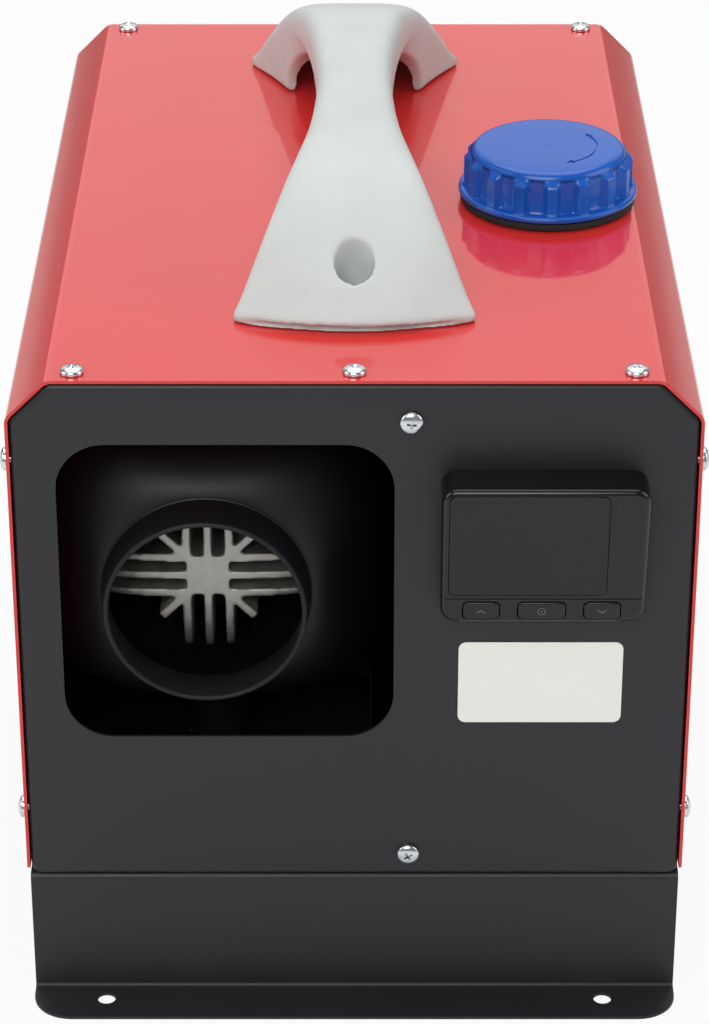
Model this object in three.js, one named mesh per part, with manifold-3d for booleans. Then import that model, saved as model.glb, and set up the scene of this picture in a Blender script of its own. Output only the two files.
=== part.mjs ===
// Portable diesel air heater in a sheet-steel case.
// Millimetres, +Z up. The front faces -Y and +X is to the right, seen from the front.
// The origin is the centre of the footprint, on the ground.

import * as THREE from 'three';
import { mergeVertices } from 'three/addons/utils/BufferGeometryUtils.js';
import Module from 'manifold-3d';

const wasm = await Module();
wasm.setup();

// ---------------------------------------------------------------- sizes

// Fits
const GAP = 0.3;
const SLIP = 0.4;
const SHEET = 1.2;
const OVERCUT = 5;
const FUSE = 0.5;

// Case: a bent cover over two tray panels
const COVER_WIDTH = 250;
const COVER_LENGTH = 365;
const COVER_HEIGHT = 210;
const COVER_LIFT = 3.5;
const COVER_CHAMFER = 15;
const COVER_BEND = 4;
const PANEL_FLANGE = 14;
const PANEL_FOLD = 2.2;
const PANEL_CORNER = 4;

// Base: floor plate, two walls and two feet bent from one sheet
const BASE_HEIGHT = 53;
const BASE_INSET = 1;
const BASE_SETBACK = 0.7;
const BASE_BEND = 1.5;
const FOOT_REACH = 20.7;
const FOOT_CORNER = 15;
const FOOT_HOLE_FROM_SIDE = 29;
const FOOT_HOLE_RADIUS = 3.5;
const FOOT_HOLE_OUT = 8.7;
const FLOOR_LIP_HEIGHT = 16;
const FLOOR_LIP_CLEARANCE = 1;

// Screws
const SCREW_HEAD_RADIUS = 4.3;
const SCREW_HEAD_HEIGHT = 2.5;
const SCREW_RIM_HEIGHT = 1;
const SCREW_CROWN_RADIUS = 3.1;
const SCREW_CROWN_HEIGHT = 2.2;
const SCREW_SHANK_RADIUS = 1.9;
const SCREW_LENGTH = 6;
const HANDLE_SCREW_LENGTH = 9;
const SCREW_EDGE = 6.5;
const TOP_SCREW_FROM_SIDE = 24.4;
const SIDE_SCREW_DROP = 34.2;
const SIDE_SCREW_RISE = 27.3;

// Front cut-out, controller and label, measured from the cover's top plane
const CUTOUT_WIDTH = 122.2;
const CUTOUT_HEIGHT = 122.3;
const CUTOUT_DROP = 25.4;
const CUTOUT_CORNER = 18;
const CUTOUT_SHIFT = 8.2;
const CONTROLLER_SHIFT = -1.25;
const CONTROLLER_DROP = 35.4;
const CONTROLLER_WIDTH = 74.8;
const CONTROLLER_HEIGHT = 58.4;
const CONTROLLER_TOP_DEPTH = 17;
const CONTROLLER_BOTTOM_DEPTH = 9;
const CONTROLLER_WALL = 2;
const CONTROLLER_CORNER = 6;
const CONTROLLER_BROW = 5;
const CONTROLLER_CHIN = 2;
const LCD_WIDTH = 57.1;
const LCD_HEIGHT = 43.6;
const LCD_OFFSET = -5.9;
const LCD_MARGIN = 2.4;
const LCD_THICKNESS = 1.6;
const LCD_CORNER = 2;
const LCD_LEDGE = 5;
const BUTTON_WIDTHS = [13.2, 17.3, 13.2];
const BUTTON_CENTRES = [-22.5, -0.5, 21.5];
const BUTTON_HEIGHT = 7.5;
const BUTTON_CORNER = 2;
const BUTTON_PROUD = 0.6;
const BUTTON_BODY = 2.6;
const BUTTON_LIP = 1;
const BUTTON_TRAVEL = 0.8;
const BUTTON_MARGIN = 2.2;
const WELL_DEPTH = 3;
const SWITCH_WIDTH = 6;
const SWITCH_HEIGHT = 1.6;
const BOARD_THICKNESS = 1.6;
const BOARD_EDGE = 1;
const BOARD_HEADROOM = 4;
const LEAD_HOLE_RADIUS = 6;
const LABEL_WIDTH = 60.8;
const LABEL_HEIGHT = 34.4;
const LABEL_DROP = 106.8;
const LABEL_SHIFT = -0.95;
const LABEL_THICKNESS = 0.4;
const LABEL_CORNER = 3;
const LABEL_GLUE = 0.1;

// Partition and the shelf that carries the heater
const PARTITION_FROM_HEATER = 70.8;
const PARTITION_FLANGE = 12;
const PARTITION_SCREW_IN = 4.4;
const PARTITION_SCREW_DROP = 16.2;
const PARTITION_SCREW_RISE = 10.2;
const PARTITION_HEADROOM = 1;
const SHELF_LEFT_REACH = 57.2;
const SHELF_RIGHT_REACH = 61.8;
const SHELF_LIP = 8;
const SHELF_FRONT_SETBACK = 66;
const SHELF_BACK_SETBACK = 20;

// Heater
const HEATER_FROM_SIDE = 70.2;
const HEATER_AXIS_HEIGHT = 116;
const CASING_HALF_WIDTH = 64;
const CASING_HALF_HEIGHT = 64;
const CASING_WALL = 2.5;
const CASING_SQUARENESS = 6;
const CASING_FRONT_SETBACK = 62.8;
const ROOT_WALL_SHARE = 0.6;
const COLLAR_RADIUS = 37.5;
const COLLAR_ROOT_RADIUS = 39;
const COLLAR_WALL = 2;
const COLLAR_LENGTH = 16.6;
const COLLAR_PROUD = 1.5;
const INTAKE_RADIUS = 42;

// Heat exchanger casting
const HUB_SETBACK = 28.5;
const HUB_HALF = 8.1;
const HUB_CORNER = 1.5;
const FIN_REACH = 46;
const FIN_PITCH_UPRIGHT = 8;
const FIN_PITCH_LEVEL = 7.5;
const FIN_ROOT = 3.5;
const FIN_TIP = 2.2;
const FINS_BESIDE_MIDDLE = 2;
const FINS_AT_HUB = 1;
const FIN_DOME = 36;
const ARM_WIDTH = 3.3;
const ARM_REACH = 13.4;
const CORE_RADIUS = 29;
const CORE_SETBACK = 15;
const EXCHANGER_LENGTH = 190;
const EXCHANGER_FOOT_WIDTH = 36;
const EXCHANGER_FOOT_MARGIN = 18;
const CRADLE_THICKNESS = 4;
const CRADLE_BEFORE_FOOT = 12;
const CRADLE_FROM_BACK = 20;

// Ports under the exchanger, distances behind the front panel's face
const EXHAUST_SETBACK = 107.5;
const AIR_SETBACK = 162.5;
const FUEL_SETBACK = 135;
const STUB_RADIUS = 12;
const STUB_WALL = 1.5;
const STUB_DROP = 30;
const FUEL_NIPPLE_RADIUS = 2.5;
const FUEL_NIPPLE_LENGTH = 7;

// Burner and blower
const BURNER_RADIUS = 24;
const BURNER_WALL = 1.5;
const BURNER_LENGTH = 110;
const CHAMBER_PAST_BURNER = 20;
const BURNER_FLANGE_RADIUS = 34;
const BURNER_FLANGE = 3;
const PLUG_OFFSET = 12;
const PLUG_RADIUS = 2.2;
const PLUG_HEAD_RADIUS = 4.5;
const PLUG_LENGTH = 28;
const PLUG_HEAD = 6;
const PLUG_EDGE = 1;
const SHAFT_RADIUS = 2.5;
const SHAFT_PROUD = 2;
const AIR_FAN_RADIUS = 50;
const AIR_FAN_DEPTH = 22;
const AIR_FAN_BLADES = 7;
const AIR_FAN_SETBACK = 14;
const AIR_FAN_CHORD = 25.3;
const AIR_FAN_CAMBER = 5;
const AIR_FAN_PITCH = 52;
const BLADE_THICKNESS = 1.2;
const BLADE_BELLY = 2;
const BLADE_ROOT = 2;
const BLADE_DROP = 3;
const MOTOR_RADIUS = 24;
const MOTOR_LENGTH = 52;
const MOTOR_ARM = 5;
const MOTOR_EDGE = 3;
const BURNER_FAN_RADIUS = 27;
const BURNER_FAN_DEPTH = 13;
const BURNER_FAN_BLADES = 8;
const BURNER_FAN_PLATE = 2;
const BURNER_FAN_HUB_RADIUS = 6.5;
const VANE_HALF = 1;
const VANE_SWEEP = 7;
const FAN_CLEARANCE = 9;
const HUB_RADIUS = 14;
const SPINNER_RADIUS = 8.4;
const SPINNER_LENGTH = 5;

// Control board inside the heater
const BOARD_WIDTH = 64;
const BOARD_LENGTH = 70;
const BOARD_POST_RADIUS = 3;
const BOARD_DROP = 10;
const POST_INSET = 4;
const COMPONENT_MARGIN = 10;
const RELAY_SIZE = 18;
const RELAY_HEIGHT = 12;
const CHIP_SIZE = 14;
const CHIP_HEIGHT = 2.5;
const PLUG_BLOCK_DEPTH = 10;
const PLUG_BLOCK_HEIGHT = 8;

// Fuel tank, filler and cap
const TANK_PARTITION_ROOM = 4;
const TANK_SIDE_ROOM = 6;
const TANK_LENGTH = 300;
const TANK_HEADROOM = 19.7;
const TANK_WALL = 3;
const TANK_EDGE = 9;
const TANK_CORNER = 12;
const FILLER_FROM_SIDE = 48.6;
const FILLER_SETBACK = 166;
const NECK_RADIUS = 28;
const NECK_WALL = 3.5;
const GROMMET_RADIUS = 34.5;
const GROMMET_RISE = 3;
const GROMMET_WALL = 2;
const GROMMET_EDGE = 0.8;
const GROMMET_LIP = 2;
const CAP_RADIUS = 30.5;
const CAP_TOP = 22.5;
const CAP_FLANGE_RADIUS = 35.2;
const CAP_FLANGE = 2.4;
const CAP_ROUND = 3.6;
const CAP_ROOF = 3;
const CAP_RIBS = 16;
const CAP_RIB_WIDTH = 5;
const CAP_RIB_PROUD = 2.7;
const CAP_RIB_DROP = 3.4;
const CAP_RIB_DRAFT = 0.5;
const CAP_RIB_ROOT = 1;
const CAP_EDGE = 0.8;
const SEAL_THICKNESS = 2;
const SEAL_OVERHANG = 1;

// Fuel line
const OUTLET_FROM_TANK_BACK = 22;
const OUTLET_RISE = 22;
const OUTLET_RADIUS = 4;
const OUTLET_COLLAR_RADIUS = 7;
const OUTLET_LENGTH = 17.5;
const OUTLET_FLANGE_RADIUS = 6;
const OUTLET_FLANGE = 2;
const OUTLET_BOSS = 4;
const HOSE_RADIUS = 3.5;
const HOSE_CLEARANCE = 1;
const BARB_RADIUS = 2.5;
const LINE_FROM_HEATER = 39.8;
const TURN_LENGTH = 20;
const FILTER_RADIUS = 12;
const FILTER_LENGTH = 38;
const FILTER_NECK = 8;
const FILTER_SHOULDER = 12;
const FILTER_HOSE_LENGTH = 10;
const PUMP_RADIUS = 14;
const PUMP_LENGTH = 74;
const PUMP_NOZZLE = 11;
const PUMP_NOSE_RADIUS = 10;
const PUMP_NOSE_LENGTH = 14;
const PUMP_BORE = 3.3;
const PLUNGER_RADIUS = 3;
const PLUNGER_LENGTH = 30;
const PLUNGER_ROOM = 4;
const PLUNGER_SETBACK = 8;
const PUMP_PASSAGE = 1.2;
const PUMP_STAND_WIDTH = 8;
const PUMP_STAND_THICKNESS = 2;

// Carry handle
const HANDLE_LENGTH = 289;
const HANDLE_HEIGHT = 48;
const FOOT_WIDTH = 90;
const GRIP_WIDTH = 30;
const HANDLE_BULGE = 11;
const HANDLE_TAPER = 45.9;
const HANDLE_TAPER_POWER = 1.286;
const HANDLE_RISE = 90;
const HANDLE_LIP = 4;
const SKIN_LIP_EDGE = 1.6;
const SKIN_EDGE_START = 21;
const SKIN_EDGE_RUN = 41;
const SKIN_EDGE_HEIGHT = 31;
const HANDLE_FOOT_LENGTH = 45;
const FINGER_ARCH_RUN = 40;
const FINGER_HEIGHT = 28;
const FOOT_DRAFT = 1.5;
const GRIP_BASE_HALF = 8.5;
const HANDLE_WALL = 4.5;
const HOLLOW_HEIGHT = 23;
const HOLLOW_LENGTH = 60;
const HANDLE_SCREW_INSET = 20;
const RECESS_RADIUS = 7.5;
const BOSS_RADIUS = 10.5;
const BOSS_FLOOR = 4;
const CROWN_SQUARENESS = 2.5;
const HOLLOW_SQUARENESS = 3;

// Rear intake grille and cable gland
const GRILLE_FLANGE_RADIUS = 50;
const GRILLE_FLANGE = 2.4;
const GRILLE_WALL = 2.5;
const GRILLE_RINGS = 3;
const GRILLE_BAR = 2.2;
const GRILLE_SPOKES = 4;
const GRILLE_EDGE = 1;
const GLAND_FROM_SIDE = 63;
const GLAND_RISE = 34;
const GLAND_RADIUS = 8;
const GLAND_NUT_RADIUS = 11;
const GLAND_BORE = 3.6;
const GLAND_TAIL = 8;
const GLAND_NUT_THICKNESS = 7;
const GLAND_DOME_START = 10;
const GLAND_LENGTH = 14;
const GLAND_MOUTH = 1;

// Facets round a full turn, and steps along a swept or domed form
const HOLE_SIDES = 8;
const SMALL_SIDES = 12;
const RING_SIDES = 16;
const ROUND_SIDES = 20;
const DOME_SIDES = 24;
const LARGE_SIDES = 32;
const DOME_STEPS = 3;
const HOOD_STEPS = 4;
const CROWN_STEPS = 8;
const HOLLOW_STEPS = 6;
const ARCH_STEPS = 4;

// Derived planes
const FLOOR = BASE_HEIGHT;
const ROOF = FLOOR + COVER_HEIGHT;
const FACE = -COVER_LENGTH / 2;
const BACK = COVER_LENGTH / 2;
const INSIDE = SHEET + SLIP;
const QUARTER = Math.PI / 2;
const HEATER_X = -COVER_WIDTH / 2 + HEATER_FROM_SIDE;
const HEATER_Z = FLOOR + HEATER_AXIS_HEIGHT;
const CUTOUT_X = HEATER_X + CUTOUT_SHIFT;
const CUTOUT_RIGHT = CUTOUT_X + CUTOUT_WIDTH / 2;
const CONTROLS_MIDDLE = (CUTOUT_RIGHT + COVER_WIDTH / 2) / 2;
const CONTROLLER_X = CONTROLS_MIDDLE + CONTROLLER_SHIFT;
const LABEL_X = CONTROLS_MIDDLE + LABEL_SHIFT;
const PARTITION_X = HEATER_X + PARTITION_FROM_HEATER;
const PARTITION_SCREW_X = PARTITION_X + PARTITION_SCREW_IN;
const SHELF_LEFT = HEATER_X - SHELF_LEFT_REACH;
const SHELF_RIGHT = HEATER_X + SHELF_RIGHT_REACH;
const TANK_LEFT = PARTITION_X + TANK_PARTITION_ROOM;
const TANK_RIGHT = COVER_WIDTH / 2 - TANK_SIDE_ROOM;
const TANK_BASE = FLOOR + GAP;
const TANK_TOP = ROOF - TANK_HEADROOM;
const FILLER_X = COVER_WIDTH / 2 - FILLER_FROM_SIDE;
const LINE_X = HEATER_X + LINE_FROM_HEATER;
const GLAND_X = COVER_WIDTH / 2 - GLAND_FROM_SIDE;
const SHELF_TOP = HEATER_Z - CASING_HALF_HEIGHT - GAP;
const CASING_FRONT = FACE + CASING_FRONT_SETBACK;
const CASING_BACK = BACK - SHEET - GAP;
const HUB_FACE = FACE - COLLAR_PROUD + HUB_SETBACK;
const EXCHANGER_BACK = HUB_FACE + EXCHANGER_LENGTH;
const BURNER_PLATE_BACK = EXCHANGER_BACK + GAP + BURNER_FLANGE;

// ---------------------------------------------------------------- materials

function finish(color, roughness, metalness) {
  return new THREE.MeshStandardMaterial({ color, roughness, metalness });
}
const redPaint = () => finish(0xd42420, 0.28, 0.1);
const blackPaint = () => finish(0x2b2b2e, 0.45, 0.1);
const zincSteel = () => finish(0xc9cdd1, 0.3, 0.9);
const bareSteel = () => finish(0x9a9c9e, 0.4, 0.9);
const greyPlastic = () => finish(0xd3d8d5, 0.5, 0);
const bluePlastic = () => finish(0x1746c4, 0.35, 0);
const blackPlastic = () => finish(0x1c1c1e, 0.5, 0);
const glossBlack = () => finish(0x0d0d10, 0.12, 0);
const blackRubber = () => finish(0x161616, 0.8, 0);
const whiteLabel = () => finish(0xeeeee6, 0.55, 0);
const castAluminium = () => finish(0xa39e93, 0.5, 0.85);
const whitePolymer = () => finish(0xe4e2d8, 0.5, 0);
const greenBoard = () => finish(0x1d5c37, 0.5, 0);
const brass = () => finish(0xb7924a, 0.35, 0.9);

// ---------------------------------------------------------------- solid helpers

// Turns a closed geometry into a solid that can be joined and cut.
function toSolid(geometry) {
  const bare = geometry.clone();
  bare.deleteAttribute('normal');
  bare.deleteAttribute('uv');
  const merged = mergeVertices(bare, 1e-4);
  const corners = merged.index.array;
  const kept = [];
  for (let i = 0; i < corners.length; i += 3) {
    const [a, b, c] = [corners[i], corners[i + 1], corners[i + 2]];
    if (a !== b && b !== c && c !== a) kept.push(a, b, c);
  }
  const vertProperties = new Float32Array(merged.attributes.position.array);
  const build = (triVerts) => new wasm.Manifold(new wasm.Mesh({ numProp: 3, vertProperties, triVerts }));
  const solid = build(new Uint32Array(kept));
  if (solid.volume() > 0) return solid;
  for (let i = 0; i < kept.length; i += 3) [kept[i + 1], kept[i + 2]] = [kept[i + 2], kept[i + 1]];
  return build(new Uint32Array(kept));
}

function toGeometry(solid) {
  const mesh = solid.getMesh();
  const geometry = new THREE.BufferGeometry();
  geometry.setAttribute('position', new THREE.BufferAttribute(new Float32Array(mesh.vertProperties), 3));
  geometry.setIndex(new THREE.BufferAttribute(new Uint32Array(mesh.triVerts), 1));
  geometry.computeVertexNormals();
  return geometry;
}

const join = (...solids) => solids.reduce((whole, solid) => whole.add(solid));
const cut = (solid, ...tools) => tools.reduce((whole, tool) => whole.subtract(tool), solid);
const common = (...solids) => solids.reduce((whole, solid) => whole.intersect(solid));

function block([x0, x1], [y0, y1], [z0, z1]) {
  const box = new THREE.BoxGeometry(x1 - x0, y1 - y0, z1 - z0);
  return toSolid(box.translate((x0 + x1) / 2, (y0 + y1) / 2, (z0 + z1) / 2));
}

// Local +Y becomes the named axis.
function turnToAxis(geometry, axis) {
  if (axis === 'x') return geometry.rotateZ(-QUARTER);
  if (axis === 'z') return geometry.rotateX(QUARTER);
  return geometry;
}

function rod(axis, radius, [from, to], [x, y, z], sides = SMALL_SIDES) {
  const cylinder = new THREE.CylinderGeometry(radius, radius, to - from, sides);
  cylinder.translate(0, (from + to) / 2, 0);
  return toSolid(turnToAxis(cylinder, axis).translate(x, y, z));
}

// Revolves points [radius, distance along the axis] about the named axis.
function revolve(axis, profile, sides = LARGE_SIDES) {
  const points = profile.map(([radius, along]) => new THREE.Vector2(radius, along));
  return toSolid(turnToAxis(new THREE.LatheGeometry(points, sides), axis));
}

// Extrudes a shape along the named axis. The shape's own axes are the two others,
// in the order x, y, z.
function prism(axis, shape, [from, to], curveSegments = 3, bevel = { bevelEnabled: false }) {
  const geometry = new THREE.ExtrudeGeometry(shape, { depth: to - from, curveSegments, ...bevel });
  const [ex, ey, ez] = [
    new THREE.Vector3(1, 0, 0),
    new THREE.Vector3(0, 1, 0),
    new THREE.Vector3(0, 0, 1),
  ];
  const turn = new THREE.Matrix4();
  if (axis === 'x') turn.makeBasis(ey, ez, ex).setPosition(from, 0, 0);
  if (axis === 'y') turn.makeBasis(ex, ez, ey.clone().negate()).setPosition(0, to, 0);
  if (axis === 'z') turn.makeBasis(ex, ey, ez).setPosition(0, 0, from);
  return toSolid(geometry.applyMatrix4(turn));
}

const point = (x, y) => new THREE.Vector2(x, y);

// Moves a line of points sideways, to the right of its direction, keeping its corners sharp.
function offsetLine(points, distance) {
  const last = points.length - 1;
  return points.map((here, i) => {
    const before = points[Math.max(i, 1) - 1];
    const after = points[Math.min(i, last - 1) + 1];
    const arriving = i === 0 ? after.clone().sub(here) : here.clone().sub(before);
    const leaving = i === last ? here.clone().sub(before) : after.clone().sub(here);
    const normalIn = point(arriving.y, -arriving.x).normalize();
    const normalOut = point(leaving.y, -leaving.x).normalize();
    const mitre = normalIn.clone().add(normalOut).normalize();
    return here.clone().addScaledVector(mitre, distance / mitre.dot(normalIn));
  });
}

// Adds one rounded corner to a path.
function addCorner(path, before, corner, after, radius) {
  const toBefore = before.clone().sub(corner).normalize();
  const toAfter = after.clone().sub(corner).normalize();
  const halfAngle = Math.acos(THREE.MathUtils.clamp(toBefore.dot(toAfter), -1, 1)) / 2;
  const reach = radius / Math.tan(halfAngle);
  const start = corner.clone().addScaledVector(toBefore, reach);
  const end = corner.clone().addScaledVector(toAfter, reach);
  const inward = toBefore.clone().add(toAfter).normalize();
  const centre = corner.clone().addScaledVector(inward, radius / Math.sin(halfAngle));
  const clockwise = toBefore.cross(toAfter) > 0;
  path.lineTo(start.x, start.y);
  const from = start.sub(centre).angle();
  const to = end.sub(centre).angle();
  path.absarc(centre.x, centre.y, radius, from, to, clockwise);
}

// A closed outline whose corners all have their own radius.
function roundedOutline(points, radii) {
  const shape = new THREE.Shape();
  const count = points.length;
  const first = points[0].clone().lerp(points[count - 1], 0.5);
  shape.moveTo(first.x, first.y);
  points.forEach((corner, i) => {
    const before = points[(i + count - 1) % count];
    const after = points[(i + 1) % count];
    const radius = Array.isArray(radii) ? radii[i] : radii;
    if (radius > 0) addCorner(shape, before, corner, after, radius);
    else shape.lineTo(corner.x, corner.y);
  });
  shape.closePath();
  return shape;
}

function roundedRectangle(width, height, radius, x = 0, y = 0) {
  const [w, h] = [width / 2, height / 2];
  const corners = [point(x - w, y - h), point(x + w, y - h), point(x + w, y + h), point(x - w, y + h)];
  return roundedOutline(corners, radius);
}

// The section of a bent sheet: its outer line, and the same line one thickness to the right.
function bentSheet(outer, insideBend, thickness = SHEET) {
  const inner = offsetLine(outer, thickness);
  const last = outer.length - 1;
  const turnsRight = outer.map((here, i) => {
    if (i === 0 || i === last) return false;
    const arriving = here.clone().sub(outer[i - 1]);
    return arriving.cross(outer[i + 1].clone().sub(here)) < 0;
  });
  const outerRadii = turnsRight.map((right) => (right ? insideBend + thickness : insideBend));
  const innerRadii = turnsRight.map((right) => (right ? insideBend : insideBend + thickness));
  const shape = new THREE.Shape();
  shape.moveTo(outer[0].x, outer[0].y);
  for (let i = 1; i < last; i += 1) addCorner(shape, outer[i - 1], outer[i], outer[i + 1], outerRadii[i]);
  shape.lineTo(outer[last].x, outer[last].y);
  shape.lineTo(inner[last].x, inner[last].y);
  for (let i = last - 1; i > 0; i -= 1) addCorner(shape, inner[i + 1], inner[i], inner[i - 1], innerRadii[i]);
  shape.lineTo(inner[0].x, inner[0].y);
  shape.closePath();
  return shape;
}

// Joins rings of points into a closed skin. As a loop the last ring meets the first,
// otherwise both ends are closed with a fan.
function loft(rings, loop = false) {
  const count = rings[0].length;
  const positions = rings.flat().flatMap(({ x, y, z }) => [x, y, z]);
  const index = [];
  const spans = loop ? rings.length : rings.length - 1;
  for (let r = 0; r < spans; r += 1) {
    const next = (r + 1) % rings.length;
    for (let i = 0; i < count; i += 1) {
      const j = (i + 1) % count;
      const [a, b, c, d] = [r * count + i, r * count + j, next * count + j, next * count + i];
      index.push(a, b, c, a, c, d);
    }
  }
  const addCap = (ring, start, reversed) => {
    const middle = ring.reduce((sum, p) => sum.add(p), new THREE.Vector3()).divideScalar(count);
    const centre = positions.length / 3;
    positions.push(middle.x, middle.y, middle.z);
    for (let i = 0; i < count; i += 1) {
      const j = (i + 1) % count;
      if (reversed) index.push(centre, start + j, start + i);
      else index.push(centre, start + i, start + j);
    }
  };
  if (!loop) {
    addCap(rings[0], 0, true);
    addCap(rings[rings.length - 1], (rings.length - 1) * count, false);
  }
  const geometry = new THREE.BufferGeometry();
  geometry.setAttribute('position', new THREE.Float32BufferAttribute(positions, 3));
  geometry.setIndex(index);
  return toSolid(geometry);
}

// A point of a superellipse, from a circle at squareness 2 towards a rectangle above it.
function squarePoint(angle, halfWidth, halfHeight, squareness) {
  const x = Math.cos(angle);
  const z = Math.sin(angle);
  const reach = Math.abs(x / halfWidth) ** squareness + Math.abs(z / halfHeight) ** squareness;
  const radius = reach ** (-1 / squareness);
  return point(x * radius, z * radius);
}

function squareRing(y, halfWidth, halfHeight, squareness, sides = LARGE_SIDES) {
  return Array.from({ length: sides }, (_, i) => {
    const p = squarePoint((i * 2 * Math.PI) / sides, halfWidth, halfHeight, squareness);
    return new THREE.Vector3(p.x, y, p.y);
  });
}

// ---------------------------------------------------------------- scene

const heater = new THREE.Group();

function addPart(name, solid, material, place = {}) {
  const mesh = new THREE.Mesh(toGeometry(solid), material);
  mesh.name = name;
  if (place.position) mesh.position.set(...place.position);
  if (place.rotation) mesh.rotation.set(...place.rotation);
  (place.parent ?? heater).add(mesh);
  return mesh;
}

// ---------------------------------------------------------------- cover

// The case section at a given depth inside the cover's outer skin.
function caseSection(inset, bottom) {
  const half = COVER_WIDTH / 2 - inset;
  const top = ROOF - inset;
  const chamfer = COVER_CHAMFER - inset * (2 - Math.SQRT2);
  return [
    point(-half, bottom),
    point(-half, top - chamfer),
    point(-half + chamfer, top),
    point(half - chamfer, top),
    point(half, top - chamfer),
    point(half, bottom),
  ];
}

const FILLER_Y = FACE + FILLER_SETBACK;
const GROMMET_WAIST = NECK_RADIUS + GAP + GROMMET_WALL;
const HANDLE_SCREW_Y = HANDLE_LENGTH / 2 - HANDLE_SCREW_INSET;
const SCREW_HOLE = SCREW_SHANK_RADIUS + GAP;
const TOP_SCREW_X = COVER_WIDTH / 2 - TOP_SCREW_FROM_SIDE;
const TOP_SCREWS = [-TOP_SCREW_X, 0, TOP_SCREW_X];
const THROUGH_ROOF = [ROOF - OVERCUT, ROOF + OVERCUT];
const SIDE_SCREW_HEIGHTS = [ROOF - SIDE_SCREW_DROP, FLOOR + SIDE_SCREW_RISE];
const ENDS = [
  { name: 'front', y: FACE + SCREW_EDGE },
  { name: 'rear', y: BACK - SCREW_EDGE },
];

function screwHolesAt(y) {
  const side = COVER_WIDTH / 2 + OVERCUT;
  const down = TOP_SCREWS.map((x) => rod('z', SCREW_HOLE, THROUGH_ROOF, [x, y, 0], HOLE_SIDES));
  const across = SIDE_SCREW_HEIGHTS.flatMap((z) => [
    rod('x', SCREW_HOLE, [-side, -side + 2 * OVERCUT], [0, y, z], HOLE_SIDES),
    rod('x', SCREW_HOLE, [side - 2 * OVERCUT, side], [0, y, z], HOLE_SIDES),
  ]);
  return [...down, ...across];
}

function makeCover() {
  const section = bentSheet(caseSection(0, FLOOR + COVER_LIFT), COVER_BEND);
  const skin = prism('y', section, [FACE, BACK], 1);
  const fillerHole = rod('z', GROMMET_WAIST + GAP, THROUGH_ROOF, [FILLER_X, FILLER_Y, 0], ROUND_SIDES);
  const handleHoles = [-HANDLE_SCREW_Y, HANDLE_SCREW_Y].map((y) =>
    rod('z', SCREW_HOLE, THROUGH_ROOF, [0, y, 0], HOLE_SIDES));
  return cut(skin, fillerHole, ...handleHoles, ...ENDS.flatMap(({ y }) => screwHolesAt(y)));
}
addPart('top_cover', makeCover(), redPaint());

// ---------------------------------------------------------------- end panels

// Each panel is drawn with its face on y = 0 and its flanges towards +y.
function panelTray() {
  const bottom = FLOOR + GAP;
  const outer = caseSection(INSIDE, bottom);
  const bend = COVER_BEND - SLIP;
  const radii = [PANEL_CORNER, bend, bend, bend, bend, PANEL_CORNER];
  const inner = caseSection(INSIDE + SHEET, bottom + SHEET);
  const fold = (size, segments) => ({
    bevelEnabled: true,
    bevelThickness: size,
    bevelSize: size,
    bevelOffset: -size,
    bevelSegments: segments,
  });
  const past = PANEL_FLANGE + 2 * PANEL_FOLD;
  const innerFold = PANEL_FOLD - SHEET;
  const shell = prism('y', roundedOutline(outer, radii), [PANEL_FOLD, past], 1, fold(PANEL_FOLD, 1));
  const innerRadii = radii.map((radius) => radius - SHEET);
  const hollowPlan = roundedOutline(inner, innerRadii);
  const hollow = prism('y', hollowPlan, [PANEL_FOLD, past + OVERCUT], 1, fold(innerFold, 1));
  const beyond = block([-COVER_WIDTH, COVER_WIDTH], [PANEL_FLANGE, past + 2 * OVERCUT], [0, ROOF + OVERCUT]);
  return cut(shell, hollow, beyond);
}

const CUTOUT_Z = ROOF - CUTOUT_DROP - CUTOUT_HEIGHT / 2;
const PARTITION_SCREW_HEIGHTS = [ROOF - PARTITION_SCREW_DROP, FLOOR + PARTITION_SCREW_RISE];

function makePanel(side) {
  const through = [-OVERCUT, OVERCUT];
  const partitionScrews = PARTITION_SCREW_HEIGHTS.map((z) =>
    rod('y', SCREW_HOLE, through, [side * PARTITION_SCREW_X, 0, z], HOLE_SIDES));
  const edgeScrews = screwHolesAt(SCREW_EDGE);
  if (side > 0) {
    const cutout = roundedRectangle(CUTOUT_WIDTH, CUTOUT_HEIGHT, CUTOUT_CORNER, CUTOUT_X, CUTOUT_Z);
    const leadHole = rod('y', LEAD_HOLE_RADIUS, through, [CONTROLLER_X, 0, LEAD_HOLE_Z]);
    return cut(panelTray(), prism('y', cutout, through, 3), leadHole, ...partitionScrews, ...edgeScrews);
  }
  const intake = rod('y', INTAKE_RADIUS + GAP, through, [side * HEATER_X, 0, HEATER_Z], LARGE_SIDES);
  const glandHole = rod('y', GLAND_RADIUS + GAP, through, [side * GLAND_X, 0, FLOOR + GLAND_RISE]);
  return cut(panelTray(), intake, glandHole, ...partitionScrews, ...edgeScrews);
}

const LEAD_HOLE_Z = ROOF - CONTROLLER_DROP - CONTROLLER_HEIGHT / 2;
addPart('front_panel', makePanel(1), blackPaint(), { position: [0, FACE, 0] });
addPart('rear_panel', makePanel(-1), blackPaint(), { position: [0, BACK, 0], rotation: [0, 0, Math.PI] });

// ---------------------------------------------------------------- base

const STUBS = [
  { name: 'exhaust_stub', y: FACE + EXHAUST_SETBACK },
  { name: 'combustion_air_stub', y: FACE + AIR_SETBACK },
];

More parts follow.
